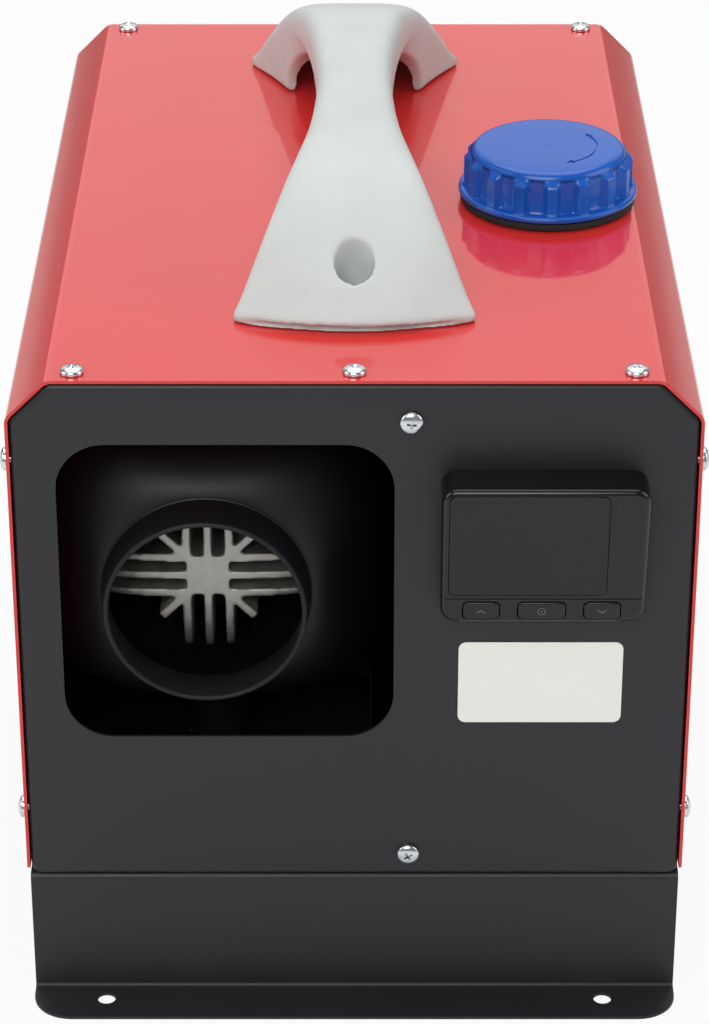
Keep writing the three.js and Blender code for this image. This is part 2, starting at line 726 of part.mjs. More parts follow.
function makeBase() {
  const wall = COVER_LENGTH / 2 - BASE_SETBACK;
  const half = COVER_WIDTH / 2 - BASE_INSET;
  const profile = [
    point(-wall - FOOT_REACH, SHEET),
    point(-wall, SHEET),
    point(-wall, FLOOR),
    point(wall, FLOOR),
    point(wall, SHEET),
    point(wall + FOOT_REACH, SHEET),
  ];
  const bent = prism('x', bentSheet(profile, BASE_BEND), [-half, half], 1);
  const plan = roundedRectangle(2 * half, 2 * (wall + FOOT_REACH), FOOT_CORNER);
  const trimmed = common(bent, prism('z', plan, [-OVERCUT, FLOOR + OVERCUT], 3));
  const lipOut = COVER_WIDTH / 2 - INSIDE;
  const lipLength = COVER_LENGTH / 2 - PANEL_FLANGE - FLOOR_LIP_CLEARANCE;
  const lips = [-1, 1].map((side) => {
    const span = [side * lipOut, side * (lipOut - SHEET)].sort((a, b) => a - b);
    return block(span, [-lipLength, lipLength], [FLOOR - SHEET / 2, FLOOR + FLOOR_LIP_HEIGHT]);
  });
  const holeX = COVER_WIDTH / 2 - FOOT_HOLE_FROM_SIDE;
  const holeY = wall + FOOT_HOLE_OUT;
  const footHoles = [-1, 1].flatMap((sx) => [-1, 1].map((sy) =>
    rod('z', FOOT_HOLE_RADIUS, [-OVERCUT, OVERCUT], [sx * holeX, sy * holeY, 0])));
  const stubHoles = STUBS.map(({ y }) =>
    rod('z', STUB_RADIUS + GAP, [FLOOR - OVERCUT, FLOOR + OVERCUT], [HEATER_X, y, 0], ROUND_SIDES));
  return cut(join(trimmed, ...lips), ...footHoles, ...stubHoles);
}
addPart('base_bracket', makeBase(), blackPaint());

// ---------------------------------------------------------------- partition and shelf

const LINE_Z = FLOOR + OUTLET_RISE;
const OUTLET_Y = TANK_LENGTH / 2 - OUTLET_FROM_TANK_BACK;

function makePartition() {
  const reach = COVER_LENGTH / 2 - SHEET - GAP;
  const plan = [
    point(PARTITION_X + PARTITION_FLANGE, reach),
    point(PARTITION_X, reach),
    point(PARTITION_X, -reach),
    point(PARTITION_X + PARTITION_FLANGE, -reach),
  ];
  const foot = FLOOR + 2 * GAP + PANEL_FOLD;
  const top = ROOF - SCREW_LENGTH - PARTITION_HEADROOM;
  const sheet = prism('z', bentSheet(plan.reverse(), BASE_BEND), [foot, top], 1);
  const screws = PARTITION_SCREW_HEIGHTS.map((z) =>
    rod('y', SCREW_HOLE, [-COVER_LENGTH, COVER_LENGTH], [PARTITION_SCREW_X, 0, z], HOLE_SIDES));
  const through = [PARTITION_X - OVERCUT, PARTITION_X + OVERCUT];
  const outlet = rod('x', OUTLET_RADIUS + GAP, through, [0, OUTLET_Y, LINE_Z]);
  return cut(sheet, ...screws, outlet);
}
addPart('inner_partition', makePartition(), blackPaint());

function makeShelf() {
  const lipTop = FLOOR + GAP + SHEET;
  const profile = [
    point(SHELF_LEFT - SHELF_LIP, lipTop),
    point(SHELF_LEFT, lipTop),
    point(SHELF_LEFT, SHELF_TOP),
    point(SHELF_RIGHT, SHELF_TOP),
    point(SHELF_RIGHT, lipTop),
    point(SHELF_RIGHT + SHELF_LIP, lipTop),
  ];
  const span = [FACE + SHELF_FRONT_SETBACK, BACK - SHELF_BACK_SETBACK];
  const hat = prism('y', bentSheet(profile, BASE_BEND), span, 1);
  const through = [SHELF_TOP - OVERCUT, SHELF_TOP + OVERCUT];
  const stubHoles = STUBS.map(({ y }) =>
    rod('z', STUB_RADIUS + GAP, through, [HEATER_X, y, 0], ROUND_SIDES));
  const nipple = rod('z', HOSE_RADIUS + HOSE_CLEARANCE, through, [HEATER_X, FACE + FUEL_SETBACK, 0]);
  const across = [SHELF_RIGHT - OVERCUT, SHELF_RIGHT + OVERCUT];
  const outlet = rod('x', OUTLET_RADIUS + GAP, across, [0, OUTLET_Y, LINE_Z]);
  return cut(hat, ...stubHoles, nipple, outlet);
}
addPart('heater_shelf', makeShelf(), blackPaint());

// ---------------------------------------------------------------- screws

function makeScrew(length) {
  return revolve('z', [
    [0, -length],
    [SCREW_SHANK_RADIUS, -length],
    [SCREW_SHANK_RADIUS, 0],
    [SCREW_HEAD_RADIUS, 0],
    [SCREW_HEAD_RADIUS, SCREW_RIM_HEIGHT],
    [SCREW_CROWN_RADIUS, SCREW_CROWN_HEIGHT],
    [0, SCREW_HEAD_HEIGHT],
  ], HOLE_SIDES);
}
const screw = makeScrew(SCREW_LENGTH);
const SCREW_SEAT = GAP;

for (const { name, y } of ENDS) {
  ['left', 'middle', 'right'].forEach((side, i) => {
    const position = [TOP_SCREWS[i], y, ROOF + SCREW_SEAT];
    addPart(`top_screw_${name}_${side}`, screw, zincSteel(), { position });
  });
  SIDE_SCREW_HEIGHTS.forEach((z, i) => {
    const level = ['upper', 'lower'][i];
    const out = COVER_WIDTH / 2 + SCREW_SEAT;
    addPart(`side_screw_${name}_${level}_left`, screw, zincSteel(), {
      position: [-out, y, z],
      rotation: [0, -QUARTER, 0],
    });
    addPart(`side_screw_${name}_${level}_right`, screw, zincSteel(), {
      position: [out, y, z],
      rotation: [0, QUARTER, 0],
    });
  });
}
PARTITION_SCREW_HEIGHTS.forEach((z, i) => {
  const level = ['upper', 'lower'][i];
  addPart(`panel_screw_front_${level}`, screw, zincSteel(), {
    position: [PARTITION_SCREW_X, FACE - SCREW_SEAT, z],
    rotation: [QUARTER, 0, 0],
  });
  addPart(`panel_screw_rear_${level}`, screw, zincSteel(), {
    position: [PARTITION_SCREW_X, BACK + SCREW_SEAT, z],
    rotation: [-QUARTER, 0, 0],
  });
});

// ---------------------------------------------------------------- carry handle

// The handle is drawn on z = 0, centred, along y. s is the distance from its nearer end.
function handleStation(s) {
  const past = Math.max(s - HANDLE_BULGE, 0) / HANDLE_TAPER;
  const half = GRIP_WIDTH / 2 + ((FOOT_WIDTH - GRIP_WIDTH) / 2) * Math.exp(-(past ** HANDLE_TAPER_POWER));
  const top = HANDLE_LIP + (HANDLE_HEIGHT - HANDLE_LIP) * Math.sin(QUARTER * Math.min(s / HANDLE_RISE, 1));
  const edgeRun = THREE.MathUtils.clamp((s - SKIN_EDGE_START) / SKIN_EDGE_RUN, 0, 1);
  const edge = SKIN_LIP_EDGE + (SKIN_EDGE_HEIGHT - SKIN_LIP_EDGE) * Math.sin(QUARTER * edgeRun);
  const arch = THREE.MathUtils.clamp((s - HANDLE_FOOT_LENGTH) / FINGER_ARCH_RUN, 0, 1);
  const under = FINGER_HEIGHT * Math.sqrt(1 - (1 - arch) ** 2);
  const draft = FOOT_DRAFT - (GRIP_WIDTH / 2 - GRIP_BASE_HALF) * arch;
  return { half, top, edge, under, base: half + draft };
}

function handleRing(y, s) {
  const { half, top, edge, under, base } = handleStation(s);
  const lowest = Math.min(under, edge - 1);
  const ring = [point(base, lowest), point(half, (lowest + edge) / 2)];
  for (let i = 0; i <= CROWN_STEPS; i += 1) {
    const p = squarePoint((i * Math.PI) / CROWN_STEPS, half, top - edge, CROWN_SQUARENESS);
    ring.push(point(p.x, edge + Math.max(p.y, 0)));
  }
  ring.push(point(-half, (lowest + edge) / 2), point(-base, lowest));
  return ring.map((p) => new THREE.Vector3(p.x, y, p.y));
}

function handleStations() {
  const half = HANDLE_LENGTH / 2;
  const foot = [0, 0.15, 0.4, 0.7].map((share) => share * HANDLE_FOOT_LENGTH);
  const arch = Array.from({ length: ARCH_STEPS + 1 }, (_, i) =>
    HANDLE_FOOT_LENGTH + FINGER_ARCH_RUN * (1 - Math.cos((QUARTER * i) / ARCH_STEPS)));
  const archEnd = HANDLE_FOOT_LENGTH + FINGER_ARCH_RUN;
  return [...foot, ...arch, (archEnd + half) / 2, half];
}

// Plan of the handle's feet: straight sides and ends that bulge outwards.
function handlePlan(inset) {
  const half = HANDLE_LENGTH / 2 - inset;
  const side = FOOT_WIDTH / 2 + FOOT_DRAFT - inset;
  const chord = FOOT_WIDTH / 2;
  const radius = (chord ** 2 + HANDLE_BULGE ** 2) / (2 * HANDLE_BULGE);
  const spread = Math.asin(side / radius);
  const shape = new THREE.Shape();
  const centre = half - radius;
  shape.absarc(0, centre, radius, QUARTER - spread, QUARTER + spread, false);
  shape.absarc(0, -centre, radius, 3 * QUARTER - spread, 3 * QUARTER + spread, false);
  shape.closePath();
  return shape;
}

function makeHandle() {
  const stations = handleStations();
  const half = HANDLE_LENGTH / 2;
  const front = stations.map((s) => handleRing(-half + s, s));
  const rear = stations.slice(0, -1).reverse().map((s) => handleRing(half - s, s));
  const around = prism('z', handlePlan(0), [-OVERCUT, HANDLE_HEIGHT + OVERCUT], 5);
  const skin = common(loft([...front, ...rear]), around);

  const hollowShares = [0, 0.25, 0.6, 1];
  const hollows = [-1, 1].map((end) => {
    const rings = hollowShares.map((share) => {
      const s = HANDLE_WALL + share * (HOLLOW_LENGTH - HANDLE_WALL);
      const { half: width, top } = handleStation(s);
      const height = Math.min(top - HANDLE_WALL, HOLLOW_HEIGHT);
      const ring = [];
      for (let i = 0; i <= HOLLOW_STEPS; i += 1) {
        const angle = (i * Math.PI) / HOLLOW_STEPS;
        const p = squarePoint(angle, width - HANDLE_WALL, height + 1, HOLLOW_SQUARENESS);
        ring.push(new THREE.Vector3(p.x, end * (half - s), p.y - 1));
      }
      return ring;
    });
    return loft(rings);
  });
  const inside = prism('z', handlePlan(HANDLE_WALL), [-OVERCUT, HANDLE_HEIGHT], 5);
  const shell = cut(skin, ...hollows.map((hollow) => common(hollow, inside)));

  const seats = [-HANDLE_SCREW_Y, HANDLE_SCREW_Y];
  const bosses = seats.map((y) => rod('z', BOSS_RADIUS, [0, HANDLE_HEIGHT], [0, y, 0], ROUND_SIDES));
  const withBosses = join(shell, ...bosses.map((boss) => common(boss, skin)));
  const recesses = seats.map((y) =>
    rod('z', RECESS_RADIUS, [BOSS_FLOOR, HANDLE_HEIGHT], [0, y, 0], ROUND_SIDES));
  const holes = seats.map((y) => rod('z', SCREW_HOLE, [-OVERCUT, HANDLE_HEIGHT], [0, y, 0], HOLE_SIDES));
  return cut(withBosses, ...recesses, ...holes);
}
addPart('carry_handle', makeHandle(), greyPlastic(), { position: [0, 0, ROOF + GAP] });
for (const [name, y] of [['front', -HANDLE_SCREW_Y], ['rear', HANDLE_SCREW_Y]]) {
  const position = [0, y, ROOF + GAP + BOSS_FLOOR + SCREW_SEAT];
  addPart(`handle_screw_${name}`, makeScrew(HANDLE_SCREW_LENGTH), zincSteel(), { position });
}

// ---------------------------------------------------------------- controller and label

const controller = new THREE.Group();
controller.position.set(CONTROLLER_X, FACE, ROOF - CONTROLLER_DROP);
heater.add(controller);

// The controller's face leans, so its details are drawn in a frame that lies on it:
// x right, +y into the housing, z up along the face, zero at the top edge.
const FACE_TILT = Math.atan2(CONTROLLER_TOP_DEPTH - CONTROLLER_BOTTOM_DEPTH, CONTROLLER_HEIGHT);
const FACE_LENGTH = CONTROLLER_HEIGHT / Math.cos(FACE_TILT);
const controllerFace = new THREE.Group();
controllerFace.position.set(0, -CONTROLLER_TOP_DEPTH, 0);
controllerFace.rotation.x = FACE_TILT;
controller.add(controllerFace);

const LCD_Z = -LCD_MARGIN - LCD_HEIGHT / 2;
const BUTTON_Z = -FACE_LENGTH + BUTTON_MARGIN + BUTTON_HEIGHT / 2;
const SWITCH_FACE = BUTTON_BODY + BUTTON_TRAVEL + GAP;
const CONTROL_BOARD_FACE = SWITCH_FACE + SWITCH_HEIGHT;
const buttonShape = (width) => roundedRectangle(width, BUTTON_HEIGHT, BUTTON_CORNER);

function leanWithFace(geometrySolid) {
  const geometry = toGeometry(geometrySolid);
  return toSolid(geometry.rotateX(FACE_TILT).translate(0, -CONTROLLER_TOP_DEPTH, 0));
}

function makeControllerHousing() {
  const side = [
    point(-GAP, 0),
    point(-CONTROLLER_TOP_DEPTH, 0),
    point(-CONTROLLER_BOTTOM_DEPTH, -CONTROLLER_HEIGHT),
    point(-GAP, -CONTROLLER_HEIGHT),
  ];
  const half = CONTROLLER_WIDTH / 2;
  const outerSide = roundedOutline(side, [0, CONTROLLER_BROW, CONTROLLER_CHIN, 0]);
  const front = roundedRectangle(2 * half, CONTROLLER_HEIGHT, CONTROLLER_CORNER, 0, -CONTROLLER_HEIGHT / 2);
  const depth = [-CONTROLLER_TOP_DEPTH - OVERCUT, OVERCUT];
  const outer = common(prism('x', outerSide, [-half, half], 2), prism('y', front, depth, 2));

  const innerSide = offsetLine(side, -CONTROLLER_WALL);
  innerSide[0].x = OVERCUT;
  innerSide[3].x = OVERCUT;
  const brow = CONTROLLER_BROW - CONTROLLER_WALL;
  const inset = half - CONTROLLER_WALL;
  const hollow = prism('x', roundedOutline(innerSide, [0, brow, 0, 0]), [-inset, inset], 1);

  const depths = [-OVERCUT, WELL_DEPTH];
  const window = roundedRectangle(LCD_WIDTH + 2 * GAP, LCD_HEIGHT + 2 * GAP, LCD_CORNER, LCD_OFFSET, LCD_Z);
  const windowHole = prism('y', window, depths, 1);
  const wells = BUTTON_WIDTHS.map((width, i) => {
    const [w, h] = [width + 2 * GAP, BUTTON_HEIGHT + 2 * GAP];
    return prism('y', roundedRectangle(w, h, BUTTON_CORNER + GAP, BUTTON_CENTRES[i], BUTTON_Z), depths, 1);
  });
  return cut(outer, hollow, leanWithFace(join(windowHole, ...wells)));
}
addPart('controller_housing', makeControllerHousing(), blackPlastic(), { parent: controller });

const lcd = prism('y', roundedRectangle(LCD_WIDTH, LCD_HEIGHT, LCD_CORNER - GAP), [0, LCD_THICKNESS], 1);
addPart('lcd_window', lcd, glossBlack(), { parent: controllerFace, position: [LCD_OFFSET, 0, LCD_Z] });

BUTTON_WIDTHS.forEach((width, i) => {
  const cap = prism('y', buttonShape(width), [-BUTTON_PROUD, BUTTON_BODY], 1);
  const lipStart = CONTROLLER_WALL + GAP;
  const [w, h] = [width + 2 * BUTTON_LIP, BUTTON_HEIGHT + BUTTON_LIP];
  const lipShape = roundedRectangle(w, h, BUTTON_CORNER, 0, BUTTON_LIP / 2);
  const lip = prism('y', lipShape, [lipStart, BUTTON_BODY], 1);
  addPart(`button_${['left', 'middle', 'right'][i]}`, join(cap, lip), blackPlastic(), {
    parent: controllerFace,
    position: [BUTTON_CENTRES[i], 0, BUTTON_Z],
  });
});

function makeControllerBoard() {
  const inside = CONTROLLER_WIDTH / 2 - CONTROLLER_WALL - GAP;
  const bottom = BUTTON_Z - BUTTON_HEIGHT / 2 + BOARD_EDGE;
  const face = CONTROL_BOARD_FACE;
  const height = [bottom, -CONTROLLER_WALL - BOARD_HEADROOM];
  const board = block([-inside, inside], [face, face + BOARD_THICKNESS], height);
  const glassSeat = LCD_THICKNESS + GAP;
  const lcdHalf = LCD_WIDTH / 2 - BOARD_EDGE;
  const lcdEdges = [LCD_Z - LCD_HEIGHT / 2 + BOARD_EDGE, LCD_Z + LCD_HEIGHT / 2 - LCD_LEDGE];
  const module = block([LCD_OFFSET - lcdHalf, LCD_OFFSET + lcdHalf], [glassSeat, face + FUSE], lcdEdges);
  const half = SWITCH_WIDTH / 2;
  const switches = BUTTON_CENTRES.map((x) =>
    block([x - half, x + half], [SWITCH_FACE, face + FUSE], [bottom + FUSE, BUTTON_Z + half]));
  return join(board, module, ...switches);
}
addPart('controller_board', makeControllerBoard(), greenBoard(), { parent: controllerFace });

const label = prism('y', roundedRectangle(LABEL_WIDTH, LABEL_HEIGHT, LABEL_CORNER), [-LABEL_THICKNESS, 0], 2);
addPart('blank_label', label, whiteLabel(), {
  position: [LABEL_X, FACE - LABEL_GLUE, ROOF - LABEL_DROP - LABEL_HEIGHT / 2],
});

// ---------------------------------------------------------------- heater casing and hood

const heaterUnit = new THREE.Group();
heaterUnit.position.set(HEATER_X, 0, HEATER_Z);
heater.add(heaterUnit);

// Everything on the heater's axis is drawn with x = z = 0 on that axis and y as in the case.
const FOOT_SPAN = [
  FACE + EXHAUST_SETBACK - EXCHANGER_FOOT_MARGIN,
  FACE + AIR_SETBACK + EXCHANGER_FOOT_MARGIN,
];
const CASING_BOTTOM = -CASING_HALF_HEIGHT;
const BOARD_Z = CASING_HALF_HEIGHT - CASING_WALL - BOARD_DROP;
const MOTOR_BACK = CASING_BACK - CASING_WALL - AIR_FAN_SETBACK - AIR_FAN_DEPTH - FAN_CLEARANCE;
const MOTOR_FRONT = MOTOR_BACK - MOTOR_LENGTH;
const BOARD_SPAN = [MOTOR_BACK - BOARD_LENGTH, MOTOR_BACK];

function casingShape(inset) {
  const ring = squareRing(0, CASING_HALF_WIDTH - inset, CASING_HALF_HEIGHT - inset, CASING_SQUARENESS);
  return new THREE.Shape(ring.map(({ x, z }) => point(x, z)));
}

function makeCasing() {
  const outer = prism('y', casingShape(0), [CASING_FRONT, CASING_BACK]);
  const inner = prism('y', casingShape(CASING_WALL), [CASING_FRONT - OVERCUT, CASING_BACK - CASING_WALL]);
  const throughBack = [CASING_BACK - OVERCUT, CASING_BACK + OVERCUT];
  const intake = rod('y', INTAKE_RADIUS, throughBack, [0, 0, 0], LARGE_SIDES);
  return cut(outer, inner, intake);
}

function makeCasings() {
  const casing = makeCasing();
  const far = CASING_HALF_HEIGHT + OVERCUT;
  const side = CASING_HALF_WIDTH + OVERCUT;
  const along = [CASING_FRONT - OVERCUT, CASING_BACK + OVERCUT];
  const above = block([-side, side], along, [-GAP / 2, far]);
  const below = block([-side, side], along, [-far, GAP / 2]);
  const inside = prism('y', casingShape(CASING_WALL / 2), along);
  const cradleAt = [FOOT_SPAN[0] - CRADLE_BEFORE_FOOT, EXCHANGER_BACK - CRADLE_FROM_BACK];
  const cradles = cradleAt.map((y) => {
    const plate = block([-side, side], [y, y + CRADLE_THICKNESS], [-far, -CASING_HALF_HEIGHT / 3]);
    const seat = rod('y', FIN_REACH + GAP, [y - OVERCUT, y + 2 * OVERCUT], [0, 0, 0], LARGE_SIDES);
    return cut(common(plate, inside), seat);
  });
  const footHalf = EXCHANGER_FOOT_WIDTH / 2 + GAP;
  const footAlong = [FOOT_SPAN[0] - GAP, FOOT_SPAN[1] + GAP];
  const footHole = block([-footHalf, footHalf], footAlong, [-far, -CASING_HALF_HEIGHT / 2]);
  const lower = cut(join(cut(casing, above), ...cradles), footHole);
  const postX = BOARD_WIDTH / 2 - BOARD_POST_RADIUS;
  const postTop = CASING_HALF_HEIGHT - CASING_WALL / 2;
  const posts = [-postX, postX].flatMap((x) =>
    [BOARD_SPAN[0] + POST_INSET, BOARD_SPAN[1] - POST_INSET].map((y) =>
      rod('z', BOARD_POST_RADIUS, [BOARD_Z + BOARD_THICKNESS + GAP, postTop], [x, y, 0], HOLE_SIDES)));
  const upper = join(cut(casing, below), ...posts);
  return { lower, upper };
}
const casings = makeCasings();
addPart('heater_lower_casing', casings.lower, blackPlastic(), { parent: heaterUnit });
addPart('heater_upper_casing', casings.upper, blackPlastic(), { parent: heaterUnit });

// The hood domes from the square casing to the round outlet collar.
const RIM = FACE - COLLAR_PROUD;
const COLLAR_ROOT = RIM + COLLAR_LENGTH;

function hoodRings(wall) {
  const back = CASING_FRONT - GAP;
  const root = COLLAR_ROOT + wall * ROOT_WALL_SHARE;
  const round = COLLAR_ROOT_RADIUS - Math.min(wall, COLLAR_WALL);
  const rings = [];
  for (let i = 0; i <= HOOD_STEPS; i += 1) {
    const swing = (QUARTER * i) / HOOD_STEPS;
    const y = back - (back - root) * Math.sin(swing);
    const share = Math.cos(swing);
    const width = round + (CASING_HALF_WIDTH - wall - round) * share;
    const height = round + (CASING_HALF_HEIGHT - wall - round) * share;
    rings.push(squareRing(y, width, height, 2 + (CASING_SQUARENESS - 2) * share));
  }
  const mouth = COLLAR_RADIUS - Math.min(wall, COLLAR_WALL);
  rings.push(squareRing(RIM, mouth, mouth, 2));
  return rings;
}
const hood = loft([...hoodRings(0), ...hoodRings(CASING_WALL).reverse()], true);
addPart('outlet_hood', hood, blackPlastic(), { parent: heaterUnit });

// ---------------------------------------------------------------- heat exchanger

// Straight fins stand on each side of the core. Their front edges are cut to a dome.
function finShape(offset, root) {
  const [a, b] = [FIN_ROOT / 2, FIN_TIP / 2];
  return new THREE.Shape([
    point(offset - a, root),
    point(offset + a, root),
    point(offset + b, FIN_REACH + OVERCUT),
    point(offset - b, FIN_REACH + OVERCUT),
  ]);
}

function turned(solid, angle) {
  return toSolid(toGeometry(solid).rotateY(angle));
}

function domeProfile(radius, front, depth) {
  const profile = [[0, front]];
  for (let i = 1; i <= DOME_STEPS; i += 1) {
    const swing = (QUARTER * i) / DOME_STEPS;
    profile.push([radius * Math.sin(swing), front + depth * (1 - Math.cos(swing))]);
  }
  return [...profile, [radius, EXCHANGER_BACK], [0, EXCHANGER_BACK]];
}

function makeExchanger() {
  const lengthwise = [HUB_FACE, EXCHANGER_BACK];
  const coreFront = HUB_FACE + CORE_SETBACK;
  const sideOfFins = (pitch) => {
    const fins = [];
    for (let k = -FINS_BESIDE_MIDDLE; k <= FINS_BESIDE_MIDDLE; k += 1) {
      const offset = k * pitch;
      const fromHub = Math.abs(k) <= FINS_AT_HUB;
      const onCore = Math.sqrt(Math.max(CORE_RADIUS ** 2 - offset ** 2, 0)) - FIN_ROOT;
      const root = fromHub ? Math.max(Math.abs(offset) - ARM_WIDTH / 2, HUB_HALF / 2) : onCore;
      const front = fromHub ? HUB_FACE : coreFront + CORE_RADIUS / 2;
      fins.push(prism('y', finShape(offset, root), [front, EXCHANGER_BACK]));
    }
    return join(...fins);
  };
  const upright = sideOfFins(FIN_PITCH_UPRIGHT);
  const level = turned(sideOfFins(FIN_PITCH_LEVEL), QUARTER);
  const allFins = join(upright, turned(upright, Math.PI), level, turned(level, Math.PI));

  const armEnd = HUB_HALF * Math.SQRT2 + ARM_REACH;
  const arms = [1, 3].map((eighth) =>
    turned(block([-armEnd, armEnd], lengthwise, [-ARM_WIDTH / 2, ARM_WIDTH / 2]), (eighth * Math.PI) / 4));
  const hub = prism('y', roundedRectangle(2 * HUB_HALF, 2 * HUB_HALF, HUB_CORNER), lengthwise, 1);
  const dome = revolve('y', domeProfile(FIN_REACH, HUB_FACE, FIN_DOME), DOME_SIDES);
  const ribbed = common(join(allFins, ...arms, hub), dome);

  const core = revolve('y', domeProfile(CORE_RADIUS, coreFront, CORE_RADIUS / 2), ROUND_SIDES);
  const footHalf = EXCHANGER_FOOT_WIDTH / 2;
  const foot = block([-footHalf, footHalf], FOOT_SPAN, [CASING_BOTTOM, -CORE_RADIUS / 2]);
  const body = join(ribbed, core, foot);

  const chamberFront = EXCHANGER_BACK - BURNER_LENGTH - CHAMBER_PAST_BURNER;
  const chamberSpan = [chamberFront, EXCHANGER_BACK + OVERCUT];
  const chamber = rod('y', BURNER_RADIUS + GAP, chamberSpan, [0, 0, 0], ROUND_SIDES);
  const ports = STUBS.map(({ y }) =>
    rod('z', STUB_RADIUS - STUB_WALL, [CASING_BOTTOM - OVERCUT, -CORE_RADIUS], [0, y, 0]));
  const fuelY = FACE + FUEL_SETBACK;
  const nippleSpan = [CASING_BOTTOM - FUEL_NIPPLE_LENGTH, CASING_BOTTOM + OVERCUT];
  const nipple = rod('z', FUEL_NIPPLE_RADIUS, nippleSpan, [0, fuelY, 0]);
  return join(cut(body, chamber, ...ports), nipple);
}
addPart('heat_exchanger', makeExchanger(), castAluminium(), { parent: heaterUnit });

const STUB_FOOT = FLOOR - STUB_DROP;
for (const { name, y } of STUBS) {
  const tube = cut(
    rod('z', STUB_RADIUS, [STUB_FOOT, SHELF_TOP], [0, 0, 0], ROUND_SIDES),
    rod('z', STUB_RADIUS - STUB_WALL, [STUB_FOOT - OVERCUT, SHELF_TOP + OVERCUT], [0, 0, 0], ROUND_SIDES),
  );
  addPart(name, tube, bareSteel(), { position: [HEATER_X, y, 0] });
}

// ---------------------------------------------------------------- burner

function makeBurnerTube() {
  const front = EXCHANGER_BACK - BURNER_LENGTH;
  const plateFront = EXCHANGER_BACK + GAP;
  const tube = revolve('y', [
    [BURNER_RADIUS - BURNER_WALL, front],
    [BURNER_RADIUS, front],
    [BURNER_RADIUS, plateFront],
    [BURNER_FLANGE_RADIUS, plateFront],
    [BURNER_FLANGE_RADIUS, BURNER_PLATE_BACK],
    [BURNER_RADIUS / 3, BURNER_PLATE_BACK],
    [BURNER_RADIUS / 3, plateFront],
    [BURNER_RADIUS - BURNER_WALL, plateFront],
    [BURNER_RADIUS - BURNER_WALL, front],
  ], ROUND_SIDES);
  const through = [plateFront - OVERCUT, BURNER_PLATE_BACK + OVERCUT];
  const plugHole = rod('y', PLUG_RADIUS + GAP, through, [0, 0, PLUG_OFFSET]);
  return cut(tube, plugHole);
}
addPart('burner_tube', makeBurnerTube(), bareSteel(), { parent: heaterUnit });

const plug = revolve('y', [
  [0, -PLUG_LENGTH],
  [PLUG_RADIUS, -PLUG_LENGTH + PLUG_EDGE],
  [PLUG_RADIUS, 0],
  [PLUG_HEAD_RADIUS, 0],
  [PLUG_HEAD_RADIUS, PLUG_HEAD - PLUG_EDGE],
  [0, PLUG_HEAD],
], SMALL_SIDES);
addPart('glow_plug', plug, zincSteel(), {
  parent: heaterUnit,
  position: [0, BURNER_PLATE_BACK + GAP, PLUG_OFFSET],
});

// ---------------------------------------------------------------- blower

const BORE = SHAFT_RADIUS + GAP;
const BURNER_FAN_BACK = MOTOR_FRONT - FAN_CLEARANCE / 2;
const BURNER_FAN_FRONT = BURNER_FAN_BACK - BURNER_FAN_DEPTH;
const AIR_FAN_FRONT = MOTOR_BACK + FAN_CLEARANCE;
const AIR_FAN_BACK = AIR_FAN_FRONT + AIR_FAN_DEPTH;

function makeMotor() {
  const can = revolve('y', [
    [BORE, MOTOR_FRONT],
    [MOTOR_RADIUS - MOTOR_EDGE, MOTOR_FRONT],
    [MOTOR_RADIUS, MOTOR_FRONT + MOTOR_EDGE],
    [MOTOR_RADIUS, MOTOR_BACK - MOTOR_EDGE],
    [MOTOR_RADIUS - MOTOR_EDGE, MOTOR_BACK],
    [BORE, MOTOR_BACK],
    [BORE, MOTOR_FRONT],
  ], ROUND_SIDES);
  const middle = (MOTOR_FRONT + MOTOR_BACK) / 2;
  const span = [middle - MOTOR_ARM, middle + MOTOR_ARM];
  const reachX = CASING_HALF_WIDTH - CASING_WALL - GAP;
  const reachZ = CASING_HALF_HEIGHT - CASING_WALL - GAP;
  const across = block([-reachX, reachX], span, [-MOTOR_ARM, MOTOR_ARM]);
  const down = block([-MOTOR_ARM, MOTOR_ARM], span, [-reachZ, 0]);
  const bore = rod('y', BORE, [MOTOR_FRONT - OVERCUT, MOTOR_BACK + OVERCUT], [0, 0, 0], ROUND_SIDES);
  return cut(join(can, across, down), bore);
}
addPart('blower_motor', makeMotor(), zincSteel(), { parent: heaterUnit });

const shaft = rod('y', SHAFT_RADIUS, [BURNER_FAN_FRONT - SHAFT_PROUD, AIR_FAN_BACK + SHAFT_PROUD], [0, 0, 0]);
addPart('motor_shaft', shaft, zincSteel(), { parent: heaterUnit });

